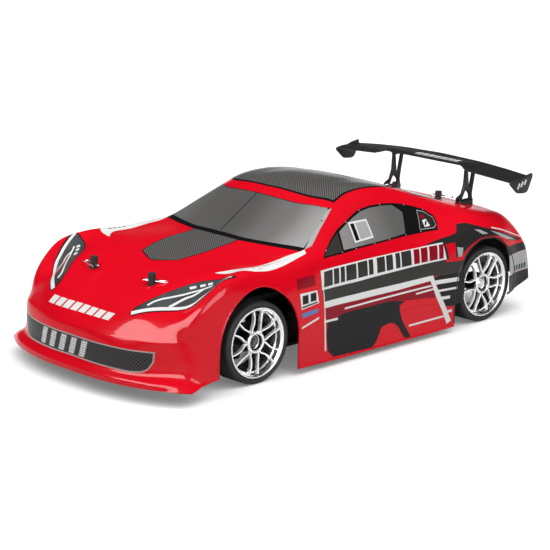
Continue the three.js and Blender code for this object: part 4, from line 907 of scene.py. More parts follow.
def lamp_print(name, look, outline, lift):
    def ground(a, b):
        return surface_below(LAMP_RIGHT * a + LAMP_UP * b - LAMP_LOOK * LAMP_DISTANCE, LAMP_LOOK)
    flat = [(p.dot(LAMP_RIGHT), p.dot(LAMP_UP)) for p in outline]
    sheet_piece(name, look, on_both_flanks(*dropped([flat], 1.0, lift, ground)))


MAIN_LINE = [(46.5, -83.7, 61.1), (54.6, -77.2, 63.1), (63.2, -70.1, 65), (74.5, -60.7, 66.8), (79.5, -55.3, 67.9),
             (82.4, -51.2, 70.2), (84.6, -46.4, 73.8), (87, -40.9, 78.4), (89.3, -33.8, 82.7), (91.9, -25.3, 85.5)]
FIRST_LINE = [(52.9, -72.9, 65), (55, -67.9, 67.5), (58.6, -63.2, 69.6), (62, -59.5, 70.8), (65.9, -55.1, 72.3),
              (69.2, -51.1, 73.4), (72.3, -47, 74.9), (78.4, -39.7, 78.9), (81.5, -35.6, 81.7)]
SECOND_LINE = [(67.5, -65, 66.6), (72, -53.5, 71.5), (76, -47.5, 74), (78, -39.5, 77.5)]
LED_BLOCKS = [[(67.8, -44.9, 76.3), (70.8, -41.3, 77.9)], [(72.8, -39.2, 78.7), (75.4, -36.5, 80.2)],
              [(76.8, -35.4, 81.2), (79.2, -33.2, 82.8)]]
LAMP_TOP = [(45, -83.8, 60.6), (45.6, -78.2, 64.5), (47.4, -74, 66.7), (50.1, -68.6, 69.3), (53.9, -62.2, 72.4),
            (57.8, -55.8, 75), (61.1, -48.9, 77.1), (64.1, -41.7, 79.1), (67.9, -35.2, 81), (73.2, -31, 82.7),
            (81.5, -26.2, 84.3), (92.5, -21, 85.6)]


def beside(points, offset, inside):
    track = [nearest_on_shell(Vector(p)) for p in points]
    edge = []
    for way in (1, -1):
        line = []
        for i, (spot, normal) in enumerate(track):
            along = track[min(i + 1, len(track) - 1)][0] - track[max(i - 1, 0)][0]
            line.append(nearest_on_shell(spot + along.cross(normal).normalized() * offset * way)[0])
        edge.append(line)
    one, other = edge
    return one if (one[4] - inside).length > (other[4] - inside).length else other


LAMP_FOOT = beside(MAIN_LINE, 2.6, Vector(LAMP_TOP[5]))
LAMP = [Vector(p) for p in LAMP_TOP] + LAMP_FOOT[::-1]
centre = sum(LAMP, Vector()) / len(LAMP)
lamp_print("lamp_edge", black_print, LAMP, 0.12)
lamp_print("lamp_field", lamp_glass, [centre.lerp(p, 0.955) for p in LAMP], 0.2)


# %% [markdown]
# The white lines of a lamp are ribbons. Each follows a bent path in space that grows narrower, and every one of
# its points is brought to the nearest spot of the shell, so the ribbon lies flat on it.

# %% Lines in the lamps
def line_on_shell(name, look, lines, lift):
    points, normals, faces = [], [], []
    for path, wide, narrow in lines:
        track = through([Vector(p) for p in path], 5)
        for i, spot in enumerate(track):
            ground, normal = nearest_on_shell(spot)
            along = track[min(i + 1, len(track) - 1)] - track[max(i - 1, 0)]
            side = along.cross(normal).normalized() * (wide + (narrow - wide) * i / (len(track) - 1)) / 2
            for edge in (ground - side, ground, ground + side):
                low, up = nearest_on_shell(edge)
                points.append(low + up * lift)
                normals.append(up)
            if i:
                k = len(points) - 6
                faces += [[k, k + 1, k + 4, k + 3], [k + 1, k + 2, k + 5, k + 4]]
    faces = [facing_out(f, points, normals) for f in faces]
    sheet_piece(name, look, on_both_flanks(points, normals, faces))


lamp_lines = [(MAIN_LINE, 3.5, 2.0), (FIRST_LINE, 1.9, 1.6), (SECOND_LINE, 2.1, 1.6)]
line_on_shell("lamp_lines", white_print, lamp_lines + [(block, 3.1, 2.8) for block in LED_BLOCKS], 0.34)

# %% [markdown]
# ## Grille
# The opening in the nose is a dark net with a thin silvery rim and five hatched bars. All are prints: the
# nose itself has no hole.

# %% Grille
GRILLE = mirrored([(0, 38.3), (30, 38.2), (57, 38), (76.5, 38.3), (75.8, 30.5), (72, 24.5), (68, 22), (59, 21),
                  (31, 21.6), (0, 22.2)])
GRILLE_FIELD = mirrored([(0, 37.4), (30, 37.3), (57, 37.1), (75.3, 37.3), (74.7, 30.8), (71.2, 25.2), (67.4, 23),
                        (59, 22), (31, 22.6), (0, 23.2)])
GRILLE_BARS = [slanted(-41 + 12.2 * i, -34.5 + 12.2 * i, 23.6, 36.6, 4.2) for i in range(5)]
lay(NOSE, "grille_rim", rim_silver, 0.12, GRILLE)
lay(NOSE, "grille_field", grille_weave, 0.2, GRILLE_FIELD)
lay(NOSE, "grille_bars", hatched, 0.28, *GRILLE_BARS)

# %% [markdown]
# ## Wheels and tyres
# The wheels are plated plastic with six pairs of slim spokes. A rim is a turned part, so its outline is drawn once
# and spun about the axle. Each spoke follows a bent line from the hub to the rim, and each pair opens like
# a tulip. The outline's first number runs along the axle, outwards from the wheel's middle.

# %% Turned parts
CLOSED_GAP = 0.001


def turned(name, outline, look, sides=96):
    mesh = bpy.data.meshes.new(name)
    count = len(outline)
    mesh.from_pydata([(x, 0, r) for x, r in outline], [(i, (i + 1) % count) for i in range(count)], [])
    piece = new_piece(name, mesh, look)
    only(piece)
    bpy.ops.object.mode_set(mode="EDIT")
    bpy.ops.mesh.select_all(action="SELECT")
    bpy.ops.mesh.spin(steps=sides, angle=math.tau, center=(0, 0, 0), axis=(1, 0, 0))
    bpy.ops.mesh.select_all(action="SELECT")
    bpy.ops.mesh.remove_doubles(threshold=CLOSED_GAP)
    bpy.ops.mesh.normals_make_consistent(inside=False)
    bpy.ops.object.mode_set(mode="OBJECT")
    return crisp(piece, 35)


def joined(name, pieces):
    bpy.ops.object.select_all(action="DESELECT")
    for piece in pieces:
        piece.select_set(True)
    bpy.context.view_layer.objects.active = pieces[0]
    bpy.ops.object.join()
    pieces[0].name = name
    return pieces[0]


def settle(piece, moved):
    for v in piece.data.vertices:
        v.co = moved(v.co)
    piece.data.update()
    return piece


def bridged(bm, rings):
    count = len(rings[0])
    for one, other in zip(rings, rings[1:]):
        for k in range(count):
            bm.faces.new((one[k], one[(k + 1) % count], other[(k + 1) % count], other[k]))
    bm.faces.new(rings[0])
    bm.faces.new(rings[-1])


# %% [markdown]
# A spoke is a short bar with rounded front edges. Seven stations along its path are joined by quads, and its
# front face bows outwards a little in the middle, as on the real wheel.

# %% Spokes and hub
SPOKE_PATH = [(8.0, 0.7), (10.5, 1.1), (13, 3.0), (16, 4.9), (19.5, 6.5), (22.5, 7.5), (24.9, 8.1)]
SPOKE_FACE = [9.9, 10.3, 10.8, 11.2, 11.3, 11.2, 10.9]
SPOKE_SECTION = [(-0.44, 0.0), (0.44, 0.0), (0.54, -0.25), (0.6, -2.9), (-0.6, -2.9), (-0.54, -0.25)]


def spoke_mesh(name, angles, look):
    bm = bmesh.new()
    for middle in angles:
        along = Vector((0, math.cos(middle), math.sin(middle)))
        across = Vector((0, -math.sin(middle), math.cos(middle)))
        for side in (-1, 1):
            centre_line = [along * math.sqrt(radius * radius - offset * offset) + across * offset * side
                           for radius, offset in SPOKE_PATH]
            rings = []
            for i, spot in enumerate(centre_line):
                run = centre_line[min(i + 1, len(centre_line) - 1)] - centre_line[max(i - 1, 0)]
                wide = Vector((1, 0, 0)).cross(run).normalized()
                ring = [spot + wide * w + Vector((SPOKE_FACE[i] + d, 0, 0)) for w, d in SPOKE_SECTION]
                rings.append([bm.verts.new(p) for p in ring])
            bridged(bm, rings)
    bmesh.ops.recalc_face_normals(bm, faces=bm.faces)
    return crisp(finish_piece(bm, name, look, placed=True), 40)


RIM = [(12.3, 27.2), (12.7, 27.1), (12.8, 26.8), (12.7, 26.1), (12.3, 25.5), (11.6, 25.2), (11.2, 24.7), (9, 24.3),
       (4, 23.8), (-2, 23.4), (-8, 23.2), (-11.8, 23.8), (-12.4, 24.6), (-12.8, 26), (-12.8, 27.2), (-11.8, 27.2),
       (-11.8, 25.6), (11.8, 25.6), (11.8, 27.2)]
RIM_STEP = [(7.2, 24.6), (7.4, 23.6), (6.8, 23.2), (3.4, 23.1), (2.8, 24.4)]
HUB = [(10.5, 8.5), (11.0, 8.1), (11.1, 7.2), (10.8, 6.5), (9.6, 6.2), (9.5, 7.0), (8.6, 8.6), (10.2, 8.6)]
HUB_DISH = [(9.9, 6.6), (7.4, 6.4), (6.6, 5.8), (5.2, 5.4), (5.0, 2.9), (-2, 2.9), (-2, 8.5), (9.0, 8.4)]
NUT_COLLAR = [(7.1, 6.0), (7.6, 5.7), (7.4, 5.3), (5.6, 5.2), (5.6, 6.0)]
TYRE = [(11.5, 26), (11.6, 27.4), (12.4, 27.7), (13.0, 28.7), (13.0, 30.0), (12.6, 31.1), (11.8, 31.75), (10.4, 32),
        (6.4, 32), (6.1, 31.6), (5.5, 31.6), (5.2, 32), (0.5, 32), (0.3, 31.6), (-0.3, 31.6), (-0.5, 32),
        (-5.2, 32), (-5.5, 31.6), (-6.1, 31.6), (-6.4, 32), (-10.4, 32), (-11.8, 31.75), (-12.6, 31.1),
        (-13.0, 30.0), (-13.0, 28.7), (-12.4, 27.7), (-11.6, 27.4), (-11.5, 26)]
SIDEWALL_BEAD = [(12.9, 28.5), (13.08, 28.75), (12.9, 29.0), (12.7, 28.75)]

# %% [markdown]
# Each wheel is built at the origin and then carried to its corner. On the right its x is mirrored, so that its open
# face looks outwards there too, and the mirrored faces are turned round again. The spokes start at another angle
# in front than behind, as the photograph shows.

# %% Place the four wheels
CORNERS = [("front_left", 0, 1, 55), ("front_right", 0, -1, 55),
           ("rear_left", WHEELBASE, 1, 27), ("rear_right", WHEELBASE, -1, 27)]


def to_corner(y, side):
    def moved(p):
        return place(side * (WHEEL_X + p.x), y + p.y, AXLE_Z + p.z)
    return moved


for corner, axle_y, side, first in CORNERS:
    end, hand = corner.split("_")
    pair_angles = [math.radians(first + 60 * k) for k in range(6)]
    # The hub dish gets the dark chrome, which is painted shade in the hollow of the hub.
    rim_parts = [turned("rim", RIM, chrome), turned("rim_step", RIM_STEP, chrome), turned("hub", HUB, chrome, 48),
                 turned("hub_dish", HUB_DISH, hub_painted_shade_chrome, 48), turned("nut_collar", NUT_COLLAR, chrome, 32),
                 spoke_mesh("spokes", pair_angles, satin_chrome)]
    tyre_parts = [turned("tyre", TYRE, tyre_rubber), turned("bead", SIDEWALL_BEAD, tyre_rubber)]
    for piece_name, parts, slot, node in (("_chrome_wheel", rim_parts, "chrome", "wheel"),
                                          ("_rubber_tyre", tyre_parts, "tyre_rubber", "tyre")):
        piece = settle(joined(corner + piece_name, parts), to_corner(axle_y, side))
        if side < 0:
            piece.data.flip_normals()
        dress(piece, corner + "_wheel", slot, f"{end}_{node}_{hand}")
        print(piece.name, "faces", len(piece.data.polygons))

# %% [markdown]
# ## Rear wing
# The blade is lofted from one rounded section, set at fifteen stations from side to side. A scaled cube could not
# hold its thin, bent tail. Outside the uprights its front edge droops, as the photograph shows.

# %% Section of the wing blade
WING_START = WHEELBASE + 21
WING_Z = 117
WING_HALF = 101.5
UPRIGHT_X = 42
DROOP_WIDTH, DROOP_BACK, DROOP_DOWN = 9, 2.2, 1.7
FRONT_REACH, CHORD = 16, 26
MIDDLE_LIFT, TIP_LIFT, TIP_FALL = 7.2, 5.6, 2.8
FALL_START, FALL_LENGTH = 52, 46
REAR_LIFT, REAR_FALL = 3.5, 5.5
SECTION = [(0.0, -0.6), (-0.5, -1.1), (0.2, -1.6), (4, -1.5), (11, -0.6), (19, 0.6), (26, 2.2), (26.6, 2.8),
           (26.2, 3.3), (20, 2.4), (12, 1.7), (4, 0.7)]


def blade_section(x):
    droop = min(max((abs(x) - UPRIGHT_X - 2) / DROOP_WIDTH, 0.0), 1.0)
    droop = droop * droop * (3 - 2 * droop)
    ring = through([Vector((0, y, z)) for y, z in SECTION + SECTION[:1]], 3)[:-1]
    front_lift = (1 - droop) * MIDDLE_LIFT + droop * (TIP_LIFT - TIP_FALL * (abs(x) - FALL_START) / FALL_LENGTH)
    rear_lift = REAR_LIFT - REAR_FALL * (x / 100) ** 2
    points = []
    for p in ring:
        front = max(1 - max(p.y, 0) / FRONT_REACH, 0)
        back = min(max(p.y / CHORD, 0), 1)
        y = WING_START + p.y - DROOP_BACK * droop * front
        z = WING_Z + p.z - DROOP_DOWN * droop * front + front_lift * (1 - back) + rear_lift * back
        points.append(Vector((x, y, z)))
    return points


def loft(name, rings, look, sharp):
    bm = bmesh.new()
    bridged(bm, [[bm.verts.new(p) for p in ring] for ring in rings])
    bmesh.ops.recalc_face_normals(bm, faces=bm.faces)
    return crisp(finish_piece(bm, name, look), sharp)


# %% [markdown]
# Flat moulded parts start as an outline with rounded corners. The outline is filled, extruded to its thickness, and
# its rims get a small bevel, because a moulded rim is never sharp. An outline with holes can't be one face, so it is
# filled with triangles, whose inner edges are dissolved afterwards.

# %% Moulded plates
EDGE_ANGLE = 50


def rounded(outline, radius, steps=4):
    points = []
    count = len(outline)
    for i, corner in enumerate(outline):
        here = Vector(corner)
        before = (Vector(outline[i - 1]) - here)
        after = (Vector(outline[(i + 1) % count]) - here)
        reach = min(radius, before.length * 0.45, after.length * 0.45)
        start, end = here + before.normalized() * reach, here + after.normalized() * reach
        for k in range(steps + 1):
            t = k / steps
            points.append(start * (1 - t) ** 2 + here * 2 * t * (1 - t) + end * t * t)
    return points


PLATE_ACROSS = {"x": lambda a, b, t: (t, a, b), "z": lambda a, b, t: (a, b, t)}


def plate(name, outlines, axis, low, high, look, bevel=0.3):
    bm = bmesh.new()
    order = PLATE_ACROSS[axis]
    loops = [[Vector((p[0], p[1], 0)) for p in outline] for outline in outlines]
    verts = [bm.verts.new(order(p.x, p.y, low)) for loop in loops for p in loop]
    holed = len(loops) > 1
    for corners in tessellate_polygon(loops) if holed else [range(len(verts))]:
        bm.faces.new([verts[i] for i in corners])
    top = bmesh.ops.extrude_face_region(bm, geom=bm.faces[:])["geom"]
    lifted = [v for v in top if isinstance(v, bmesh.types.BMVert)]
    bmesh.ops.translate(bm, vec=Vector(order(0, 0, high - low)), verts=lifted)
    bmesh.ops.recalc_face_normals(bm, faces=bm.faces)
    if holed:
        bmesh.ops.dissolve_limit(bm, angle_limit=math.radians(1), verts=bm.verts, edges=bm.edges)
    piece = finish_piece(bm, name, look)
    only(piece)
    edge = piece.modifiers.new("edge", "BEVEL")
    edge.width = bevel / 1000
    edge.segments = 2
    edge.limit_method = "ANGLE"
    edge.angle_limit = math.radians(EDGE_ANGLE)
    bpy.ops.object.modifier_apply(modifier="edge")
    return crisp(piece, 40)


# %% [markdown]
# The wing is the blade with a thin tab at each end, joined into one piece, as the real one is moulded in one.

# %% Put the wing together
stations = [-100.4, -75, -54, -50, -47, -44, -41, 0, 41, 44, 47, 50, 54, 75, 100.4]
blade = loft("blade", [blade_section(x) for x in stations], wing_plastic, 50)
TAB_LINE = [(-2.5, -1.5), (-1.2, 0.6), (6.5, -0.2), (18, 3.2), (26.6, 4.6), (27, 1.5), (21, -10.6), (17, -11.6),
            (7.5, -10.6)]
TAB = rounded([(WING_START + y, WING_Z + z) for y, z in TAB_LINE], 2.0)
TAB_WALL = 1.6
TAB_STARTS = (WING_HALF - TAB_WALL, -WING_HALF)
tabs = [plate("tab", [TAB], "x", start, start + TAB_WALL, wing_plastic, 0.35) for start in TAB_STARTS]
wing = joined("wing", [blade] + tabs)
dress(wing, "shell", "wing_plastic", "rear_wing")
print("wing faces", len(wing.data.polygons))

# %% [markdown]
# The wing's prints are plain slanted blocks: a row along the middle of the blade, with a thin line before it, and
# three strokes on each end plate. They are dropped onto the wing as the others are onto the shell.

# %% Blocks on the wing
wing_bm = bmesh.new()
wing_bm.from_mesh(wing.data)
wing_tree = BVHTree.FromBMesh(wing_bm)
wing_bm.free()


ABOVE_WING, BESIDE_WING = 140, 120


def print_on_wing(name, toward, outlines):
    def ground(a, b):
        start = place(a, b, ABOVE_WING) if toward.z else place(BESIDE_WING * -toward.x, a, b)
        spot, normal, _, _ = wing_tree.ray_cast(start, toward)
        if spot is None:
            spot, normal, _, _ = wing_tree.find_nearest(start + toward * 0.02)
        return drawn(spot), normal
    sheet_piece(name, white_print, dropped(outlines, 1.5, 0.12, ground), bent=False)


blade_blocks = [slanted(-13 + 7.2 * i, -7.5 + 7.2 * i, WING_START + 6, WING_START + 11.5, 1.6) for i in range(7)]
blade_blocks.append(slanted(-11, 38, WING_START + 3.4, WING_START + 4.4, 0.3))
tab_strokes = [bar((WING_START + 7.5 + 4.2 * i, WING_Z - 7 + 1.4 * i),
                   (WING_START + 10 + 4.2 * i, WING_Z - 2.2 + 1.1 * i), 1.9) for i in range(3)]
print_on_wing("blade_blocks", Vector((0, 0, -1)), blade_blocks)
print_on_wing("tab_strokes_left", Vector((-1, 0, 0)), tab_strokes)
print_on_wing("tab_strokes_right", Vector((1, 0, 0)), tab_strokes)

# %% [markdown]
# ## Uprights, posts and clips
# The clips, the springs and the lips of the sheet are all round wires, swept along a path: a ring of points is set
# square to the path at every station, and the rings are bridged. A bevelled curve would do the same, but it would
# still have to be turned into a mesh.

# %% Swept wires
def wire(name, path, radius, look, sides=8):
    bm = bmesh.new()
    rings = []
    angles = [math.tau * k / sides for k in range(sides)]
    side = Vector((0, 0, 1))
    for i, spot in enumerate(path):
        along = (path[min(i + 1, len(path) - 1)] - path[max(i - 1, 0)]).normalized()
        side = side - along * side.dot(along)
        side = side.normalized() if side.length > 1e-3 else along.orthogonal().normalized()
        other = along.cross(side)
        ring = [spot + side * radius * math.cos(a) + other * radius * math.sin(a) for a in angles]
        rings.append([bm.verts.new(p) for p in ring])
    bridged(bm, rings)
    bmesh.ops.recalc_face_normals(bm, faces=bm.faces)
    return finish_piece(bm, name, look)


# %% [markdown]
# Each wing upright is an open truss with a pad at its foot and a saddle under the blade. Its foot takes the shell's
# height at four places, so it stands on the deck without a gap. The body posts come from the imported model.

# %% Wing uprights
ABOVE_CAR = 300
DOWN = Vector((0, 0, -1))
UPRIGHT_TOP = WING_Z + 4.4
UPRIGHT_WALL = 2.6
HANDS = (("left", 1), ("right", -1))


def deck(x, y):
    return surface_below(Vector((x, y, ABOVE_CAR)), DOWN)[0].z


def pad_outline(x, half, start, end, radius):
    return [rounded([(x - half, start), (x + half, start), (x + half, end), (x - half, end)], radius)]


for hand, side in HANDS:
    x = side * UPRIGHT_X
    y, top = WING_START, UPRIGHT_TOP
    foot = [deck(x, y + step) + 0.3 for step in (0, 6, 12, 19)]
    frame_line = [(y, foot[0]), (y + 6, foot[1]), (y + 12, foot[2]), (y + 19, foot[3]), (y + 19, foot[3] + 4),
                  (y + 18, foot[3] + 9), (y + 19, foot[3] + 15), (y + 22.5, top - 3), (y + 24.5, top), (y + 9, top),
                  (y + 9.5, top - 4), (y + 8.5, foot[1] + 16), (y + 5.5, foot[1] + 8), (y - 0.5, foot[0] + 3.6)]
    low_hole = rounded([(y + 5, foot[1] + 3.4), (y + 15.8, foot[2] + 3), (y + 15, foot[2] + 8.4),
                        (y + 10, foot[2] + 13)], 0.8, 2)
    high_hole = rounded([(y + 13.6, foot[2] + 15), (y + 15.8, foot[2] + 13.5), (y + 19.5, top - 3.6),
                         (y + 12, top - 3.4)], 0.8, 2)
    outlines = [frame_line, low_hole, high_hole]
    truss = plate("truss", outlines, "x", x - UPRIGHT_WALL / 2, x + UPRIGHT_WALL / 2, black_plastic)
    pad = plate("pad", pad_outline(x, 3.2, y + 1, y + 18, 1.5), "z", min(foot) - 0.2, foot[0] + 1.2, black_plastic)
    saddle = plate("saddle", pad_outline(x, 2.8, y + 9, y + 22, 1.2), "z", top - 1.8, top, black_plastic)
    upright = joined("upright_" + hand, [truss, pad, saddle])
    dress(upright, "shell", "black_plastic", "wing_upright_" + hand)

# %% [markdown]
# The body posts end above the shell, and a bent spring wire through each of them holds the shell down. A clip is
# drawn once, as a line from above, and turned into place at each post.

# %% Body clips
CLIP = [(-7.5, -0.9), (-3, -0.2), (0, 0), (5, 0), (9, 0), (11.5, 0.8), (12.6, 2.6), (11.6, 4.3), (9.4, 4.4),
        (7, 3.3), (4.8, 2.9), (2.6, 3.7), (0, 4.5), (-2.6, 3.7), (-4.6, 2.9), (-8.2, 4.4)]
CLIP_ABOVE, CLIP_WIRE = 2.4, 0.55
for end, (post_x, y), turn in zip(("front", "rear"), POST_PLACES, (18, 10)):
    for hand, side in HANDS:
        x, height = side * post_x, deck(side * post_x, y) + CLIP_ABOVE
        angle = math.radians(turn if side > 0 else 180 - turn)
        cos, sin = math.cos(angle), math.sin(angle)
        path = through([Vector((x + a * cos - b * sin, y + a * sin + b * cos, height)) for a, b in CLIP], 4)
        dress(wire(f"{end}_clip_{hand}", path, CLIP_WIRE, steel), "shell", "steel")

# %% [markdown]
# The sheet is folded into a rounded lip around each wheel arch and along the bottom of each side, and soft ridges
# run over the flank. All of them are swept paths that are partly sunk into the sheet.

# %% Lips and ridges of the flanks
BESIDE_CAR = 200


def ridge(name, look, spots, radius, sunk):
    near = []
    for p in through([Vector((0, *spot)) for spot in spots], 6):
        spot, normal = surface_below(Vector((BESIDE_CAR, p.y, p.z)), Vector((-1, 0, 0)))
        near.append(spot - normal * sunk)
    piece = joined(name, [wire(name, path, radius, look) for path in (near, [flipped(p) for p in near])])
    dress(piece, "shell", SLOT_OF_LOOK.get(look.name, "graphite_print"))


LIP_OUTSIDE = 1.012


def arch_path(middle, half, high, front_foot, rear_foot):
    half, high = half * LIP_OUTSIDE, high * LIP_OUTSIDE
    bow = [(middle - half * math.cos(a), AXLE_Z + high * math.sin(a)) for a in (math.pi * k / 16 for k in range(17))]
    return [(middle - half, front_foot)] + bow + [(middle + half, rear_foot)]


ridge("front_arch_lip", red_paint, arch_path(*ARCHES[0], 15.5, 8), 0.75, 0.3)
ridge("rear_arch_lip", sweep_print, arch_path(*ARCHES[1], 8, 18), 0.75, 0.3)
ridge("sill_lip", red_paint, [(40, 7.4), (60, 6.0), (80, 5.6), (120, 5.6), (165, 5.6), (212, 5.8)], 1.1, 0.45)
POD_CREST = [(71.5, 33), (88, 30.5), (104.5, 29), (121.5, 29), (139, 31.5), (149.5, 30)]
ridge("pod_crest", black_print, POD_CREST, 1.6, 1.25)
ridge("door_curve", red_paint, [(152, 29.5), (165, 30), (180, 29.3), (192, 28)], 1.5, 1.25)

# %% [markdown]
# ## Under the shell
# Each shock gets a coil spring between a threaded collar and a cup. The collar is hung on the shock's body and
# the cup on its shaft.

# %% Shock springs
SPRING_START, SPRING_LENGTH, SPRING_END = 10.5, 25.6, 36.5
SPRING_TURNS, TURN_STEPS = 7, 14
SPRING_RADIUS, SPRING_TAPER, SPRING_WIRE = 6.4, 1.7, 0.72
SHOCK_BEYOND = 13
SHOCK_TOP_X, SHOCK_TOP_Z = 34, 62
SHOCK_FOOT_X, SHOCK_FOOT_Z = 42, 19.5


def along_shock(end, side):
    y = -SHOCK_BEYOND if end == "front" else WHEELBASE + SHOCK_BEYOND
    top, foot = Vector((SHOCK_TOP_X * side, y, SHOCK_TOP_Z)), Vector((SHOCK_FOOT_X * side, y, SHOCK_FOOT_Z))
    axis = (foot - top).normalized()
    other = Vector((0, 1, 0))
    third = axis.cross(other)
    return lambda p: place(*(top + axis * p.x + other * p.y + third * p.z))


COLLAR = [(7.4, 5.0), (7.4, 6.9), (7.9, 7.4), (8.9, 7.4), (9.1, 7.2), (9.3, 7.4), (9.7, 7.4), (10.1, 6.9),
          (10.1, 5.0)]
CUP = [(36.9, 3.0), (36.9, 5.0), (36.4, 5.1), (36.4, 5.9), (37.6, 5.9), (38.6, 4.9), (38.6, 3.0)]
coil = []
for i in range(SPRING_TURNS * TURN_STEPS + 1):
    share, angle = i / (SPRING_TURNS * TURN_STEPS), math.tau * i / TURN_STEPS
    reach = SPRING_RADIUS - SPRING_TAPER * share ** 3
    coil.append(Vector((SPRING_START + SPRING_LENGTH * share, reach * math.cos(angle), reach * math.sin(angle))))
for corner, axle_y, side, first in CORNERS:
    moved = along_shock(corner.split("_")[0], side)
    spring = settle(wire(corner + "_shock_spring", coil, SPRING_WIRE, steel, 6), lambda p: moved(drawn(p)))
    start, end = (tuple(moved(Vector((reach, 0, 0)))) for reach in (SPRING_START, SPRING_END))
    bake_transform(spring)
    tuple(start)
    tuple(end)
    for name, outline, body in (("spring_collar", COLLAR, "_shock_body"), ("spring_cup", CUP, "_shock_shaft")):
        dress(settle(turned(corner + "_" + name, outline, alloy, 32), moved), corner + body, "alloy")

# %% [markdown]
# Screws show in the plate, the towers, the gearboxes, the servo and the bumper. A ray finds the face that each head
# sits on, and where no flat face is found the head is left out. A head has a rounded rim and a socket, with few
# faces, because there are many of them.

# %% Screw heads
HEAD_SIDES = 12
HEAD_RISE = 0.7
SQUARE_ENOUGH = 0.9
HEAD_PROFILE = ((1.0, -0.1), (1.0, 0.5), (0.72, 0.95), (0.5, 1.0), (0.47, 0.3))


def node_tree(name):
    bm = bmesh.new()
    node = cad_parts[name]
    bm.from_mesh(node.data)
    bm.transform(node.matrix_world)
    tree = BVHTree.FromBMesh(bm)
    bm.free()
    return tree


def screw_heads(name, node, spots, toward, radius):
    tree = node_tree(node)
    toward = Vector(toward)
    aside = toward.orthogonal().normalized()
    across = toward.cross(aside)
    angles = [math.tau * k / HEAD_SIDES for k in range(HEAD_SIDES)]
    bm = bmesh.new()
    made = 0
    for spot in spots:
        found, normal, _, _ = tree.ray_cast(place(*spot), toward)
        if found is None or normal.dot(toward) > -SQUARE_ENOUGH:
            continue
        made += 1
        rings = []
        for wide, rise in HEAD_PROFILE:
            middle = drawn(found) - toward * rise * radius * HEAD_RISE
            ring = [middle + (aside * math.cos(a) + across * math.sin(a)) * radius * wide for a in angles]
            rings.append([bm.verts.new(p) for p in ring])
        bridged(bm, rings)
    bmesh.ops.recalc_face_normals(bm, faces=bm.faces)
    print(name, made, "of", len(spots))
    dress(crisp(finish_piece(bm, name, steel), 35), "chassis", "steel")


def both(spots):
    return spots + [(-x, y, z) for x, y, z in spots if abs(x) > 0.1]


UNDER = both([(8, -12, -20), (8, 12, -20), (8, 248, -20), (8, 272, -20), (27, 28, -20), (14, -52, -20)])
UNDER += [(20, 50, -20), (34, 50, -20), (20, 150, -20), (32, 192, -20), (-46, 123, -20), (0, 123, -20)]
screw_heads("plate_screws", "chassis_plate", UNDER, (0, 0, 1), 2.3)
for end, y, way, axle_y, lean in (("front", -60, 1, 0, 1), ("rear", 320, -1, WHEELBASE, -1)):
    tower = both([(7, y, 30), (7, y, 38), (34, y, 62), (26, y, 56)])
    lid = both([(9, axle_y + lean * 16, 90), (9, axle_y - lean * 15, 90), (9, axle_y, 90)])
    screw_heads(end + "_tower_screws", end + "_shock_tower", tower, (0, way, 0), 1.8)
    screw_heads(end + "_gearbox_screws", end + "_gearbox", lid, (0, 0, -1), 1.5)
SERVO = [(21, 16.3, 60), (33, 16.3, 60), (21, 59.7, 60), (33, 59.7, 60)]
screw_heads("servo_screws", "steering_servo", SERVO, (0, 0, -1), 1.5)
screw_heads("bumper_screws", "front_bumper", both([(14, -52, 60), (30, -52, 60)]), (0, 0, -1), 1.7)

# %% [markdown]
# The motor has an end cap with a bearing seat. It could be three cylinders set into each other, but one turned
# outline gives its rim, its seat and its bore at once.

# %% Motor cap
MOTOR_X, MOTOR_Y, MOTOR_Z = 23.7, 147, 26.8


def to_motor(p):
    return place(MOTOR_X + p.y, MOTOR_Y + p.x, MOTOR_Z + p.z)


MOTOR_CAP = [(0.2, 17.4), (-0.8, 17.2), (-1.1, 16.6), (-1.1, 8.4), (-1.6, 8.0), (-2.6, 7.4), (-2.6, 3.2),
             (-0.7, 2.8), (0.2, 2.8)]
motor_cap = settle(turned("motor_cap", MOTOR_CAP, black_plastic, 64), to_motor)
motor_cap.data.flip_normals()
dress(motor_cap, "chassis", "black_plastic")

# %% [markdown]
# ## Studio
# The photograph was taken on white with a soft shadow. The floor is nearly white where the camera, a reflection or
# a window looks at it, and grey for the light that it sends back to the car, so that the lamps set the car's level.

# %% Floor
def white_floor():
    look, tree, shader = new_look("white_floor")
    ray = tree.nodes.new("ShaderNodeLightPath").outputs
    direct = combined(tree, "MAXIMUM", ray["Is Camera Ray"], ray["Is Glossy Ray"])
    clear = combined(tree, "MAXIMUM", direct, ray["Is Transmission Ray"])
    paper = mixed(tree, noise(tree, 3), (0.97, 0.97, 0.97), (0.98, 0.98, 0.98))
    feed(tree, shader, {"Roughness": 0.95, "Specular IOR Level": 0.1, "Emission Color": (1, 1, 1, 1),
                        "Base Color": mixed(tree, clear, (0.5, 0.5, 0.5), paper),
                        "Emission Strength": between(tree, ray["Is Camera Ray"], 0.0, 0.16)})
    return look


bpy.ops.mesh.primitive_plane_add(size=14, location=(0, 0, 0))
floor = bpy.context.object
floor.name = "floor"
floor.data.materials.append(white_floor())

# %% [markdown]
# The sky is white for the camera and through windows. In reflections it is white only near the horizon, as a studio
# wall is, and the light that it gives to the car is dim.

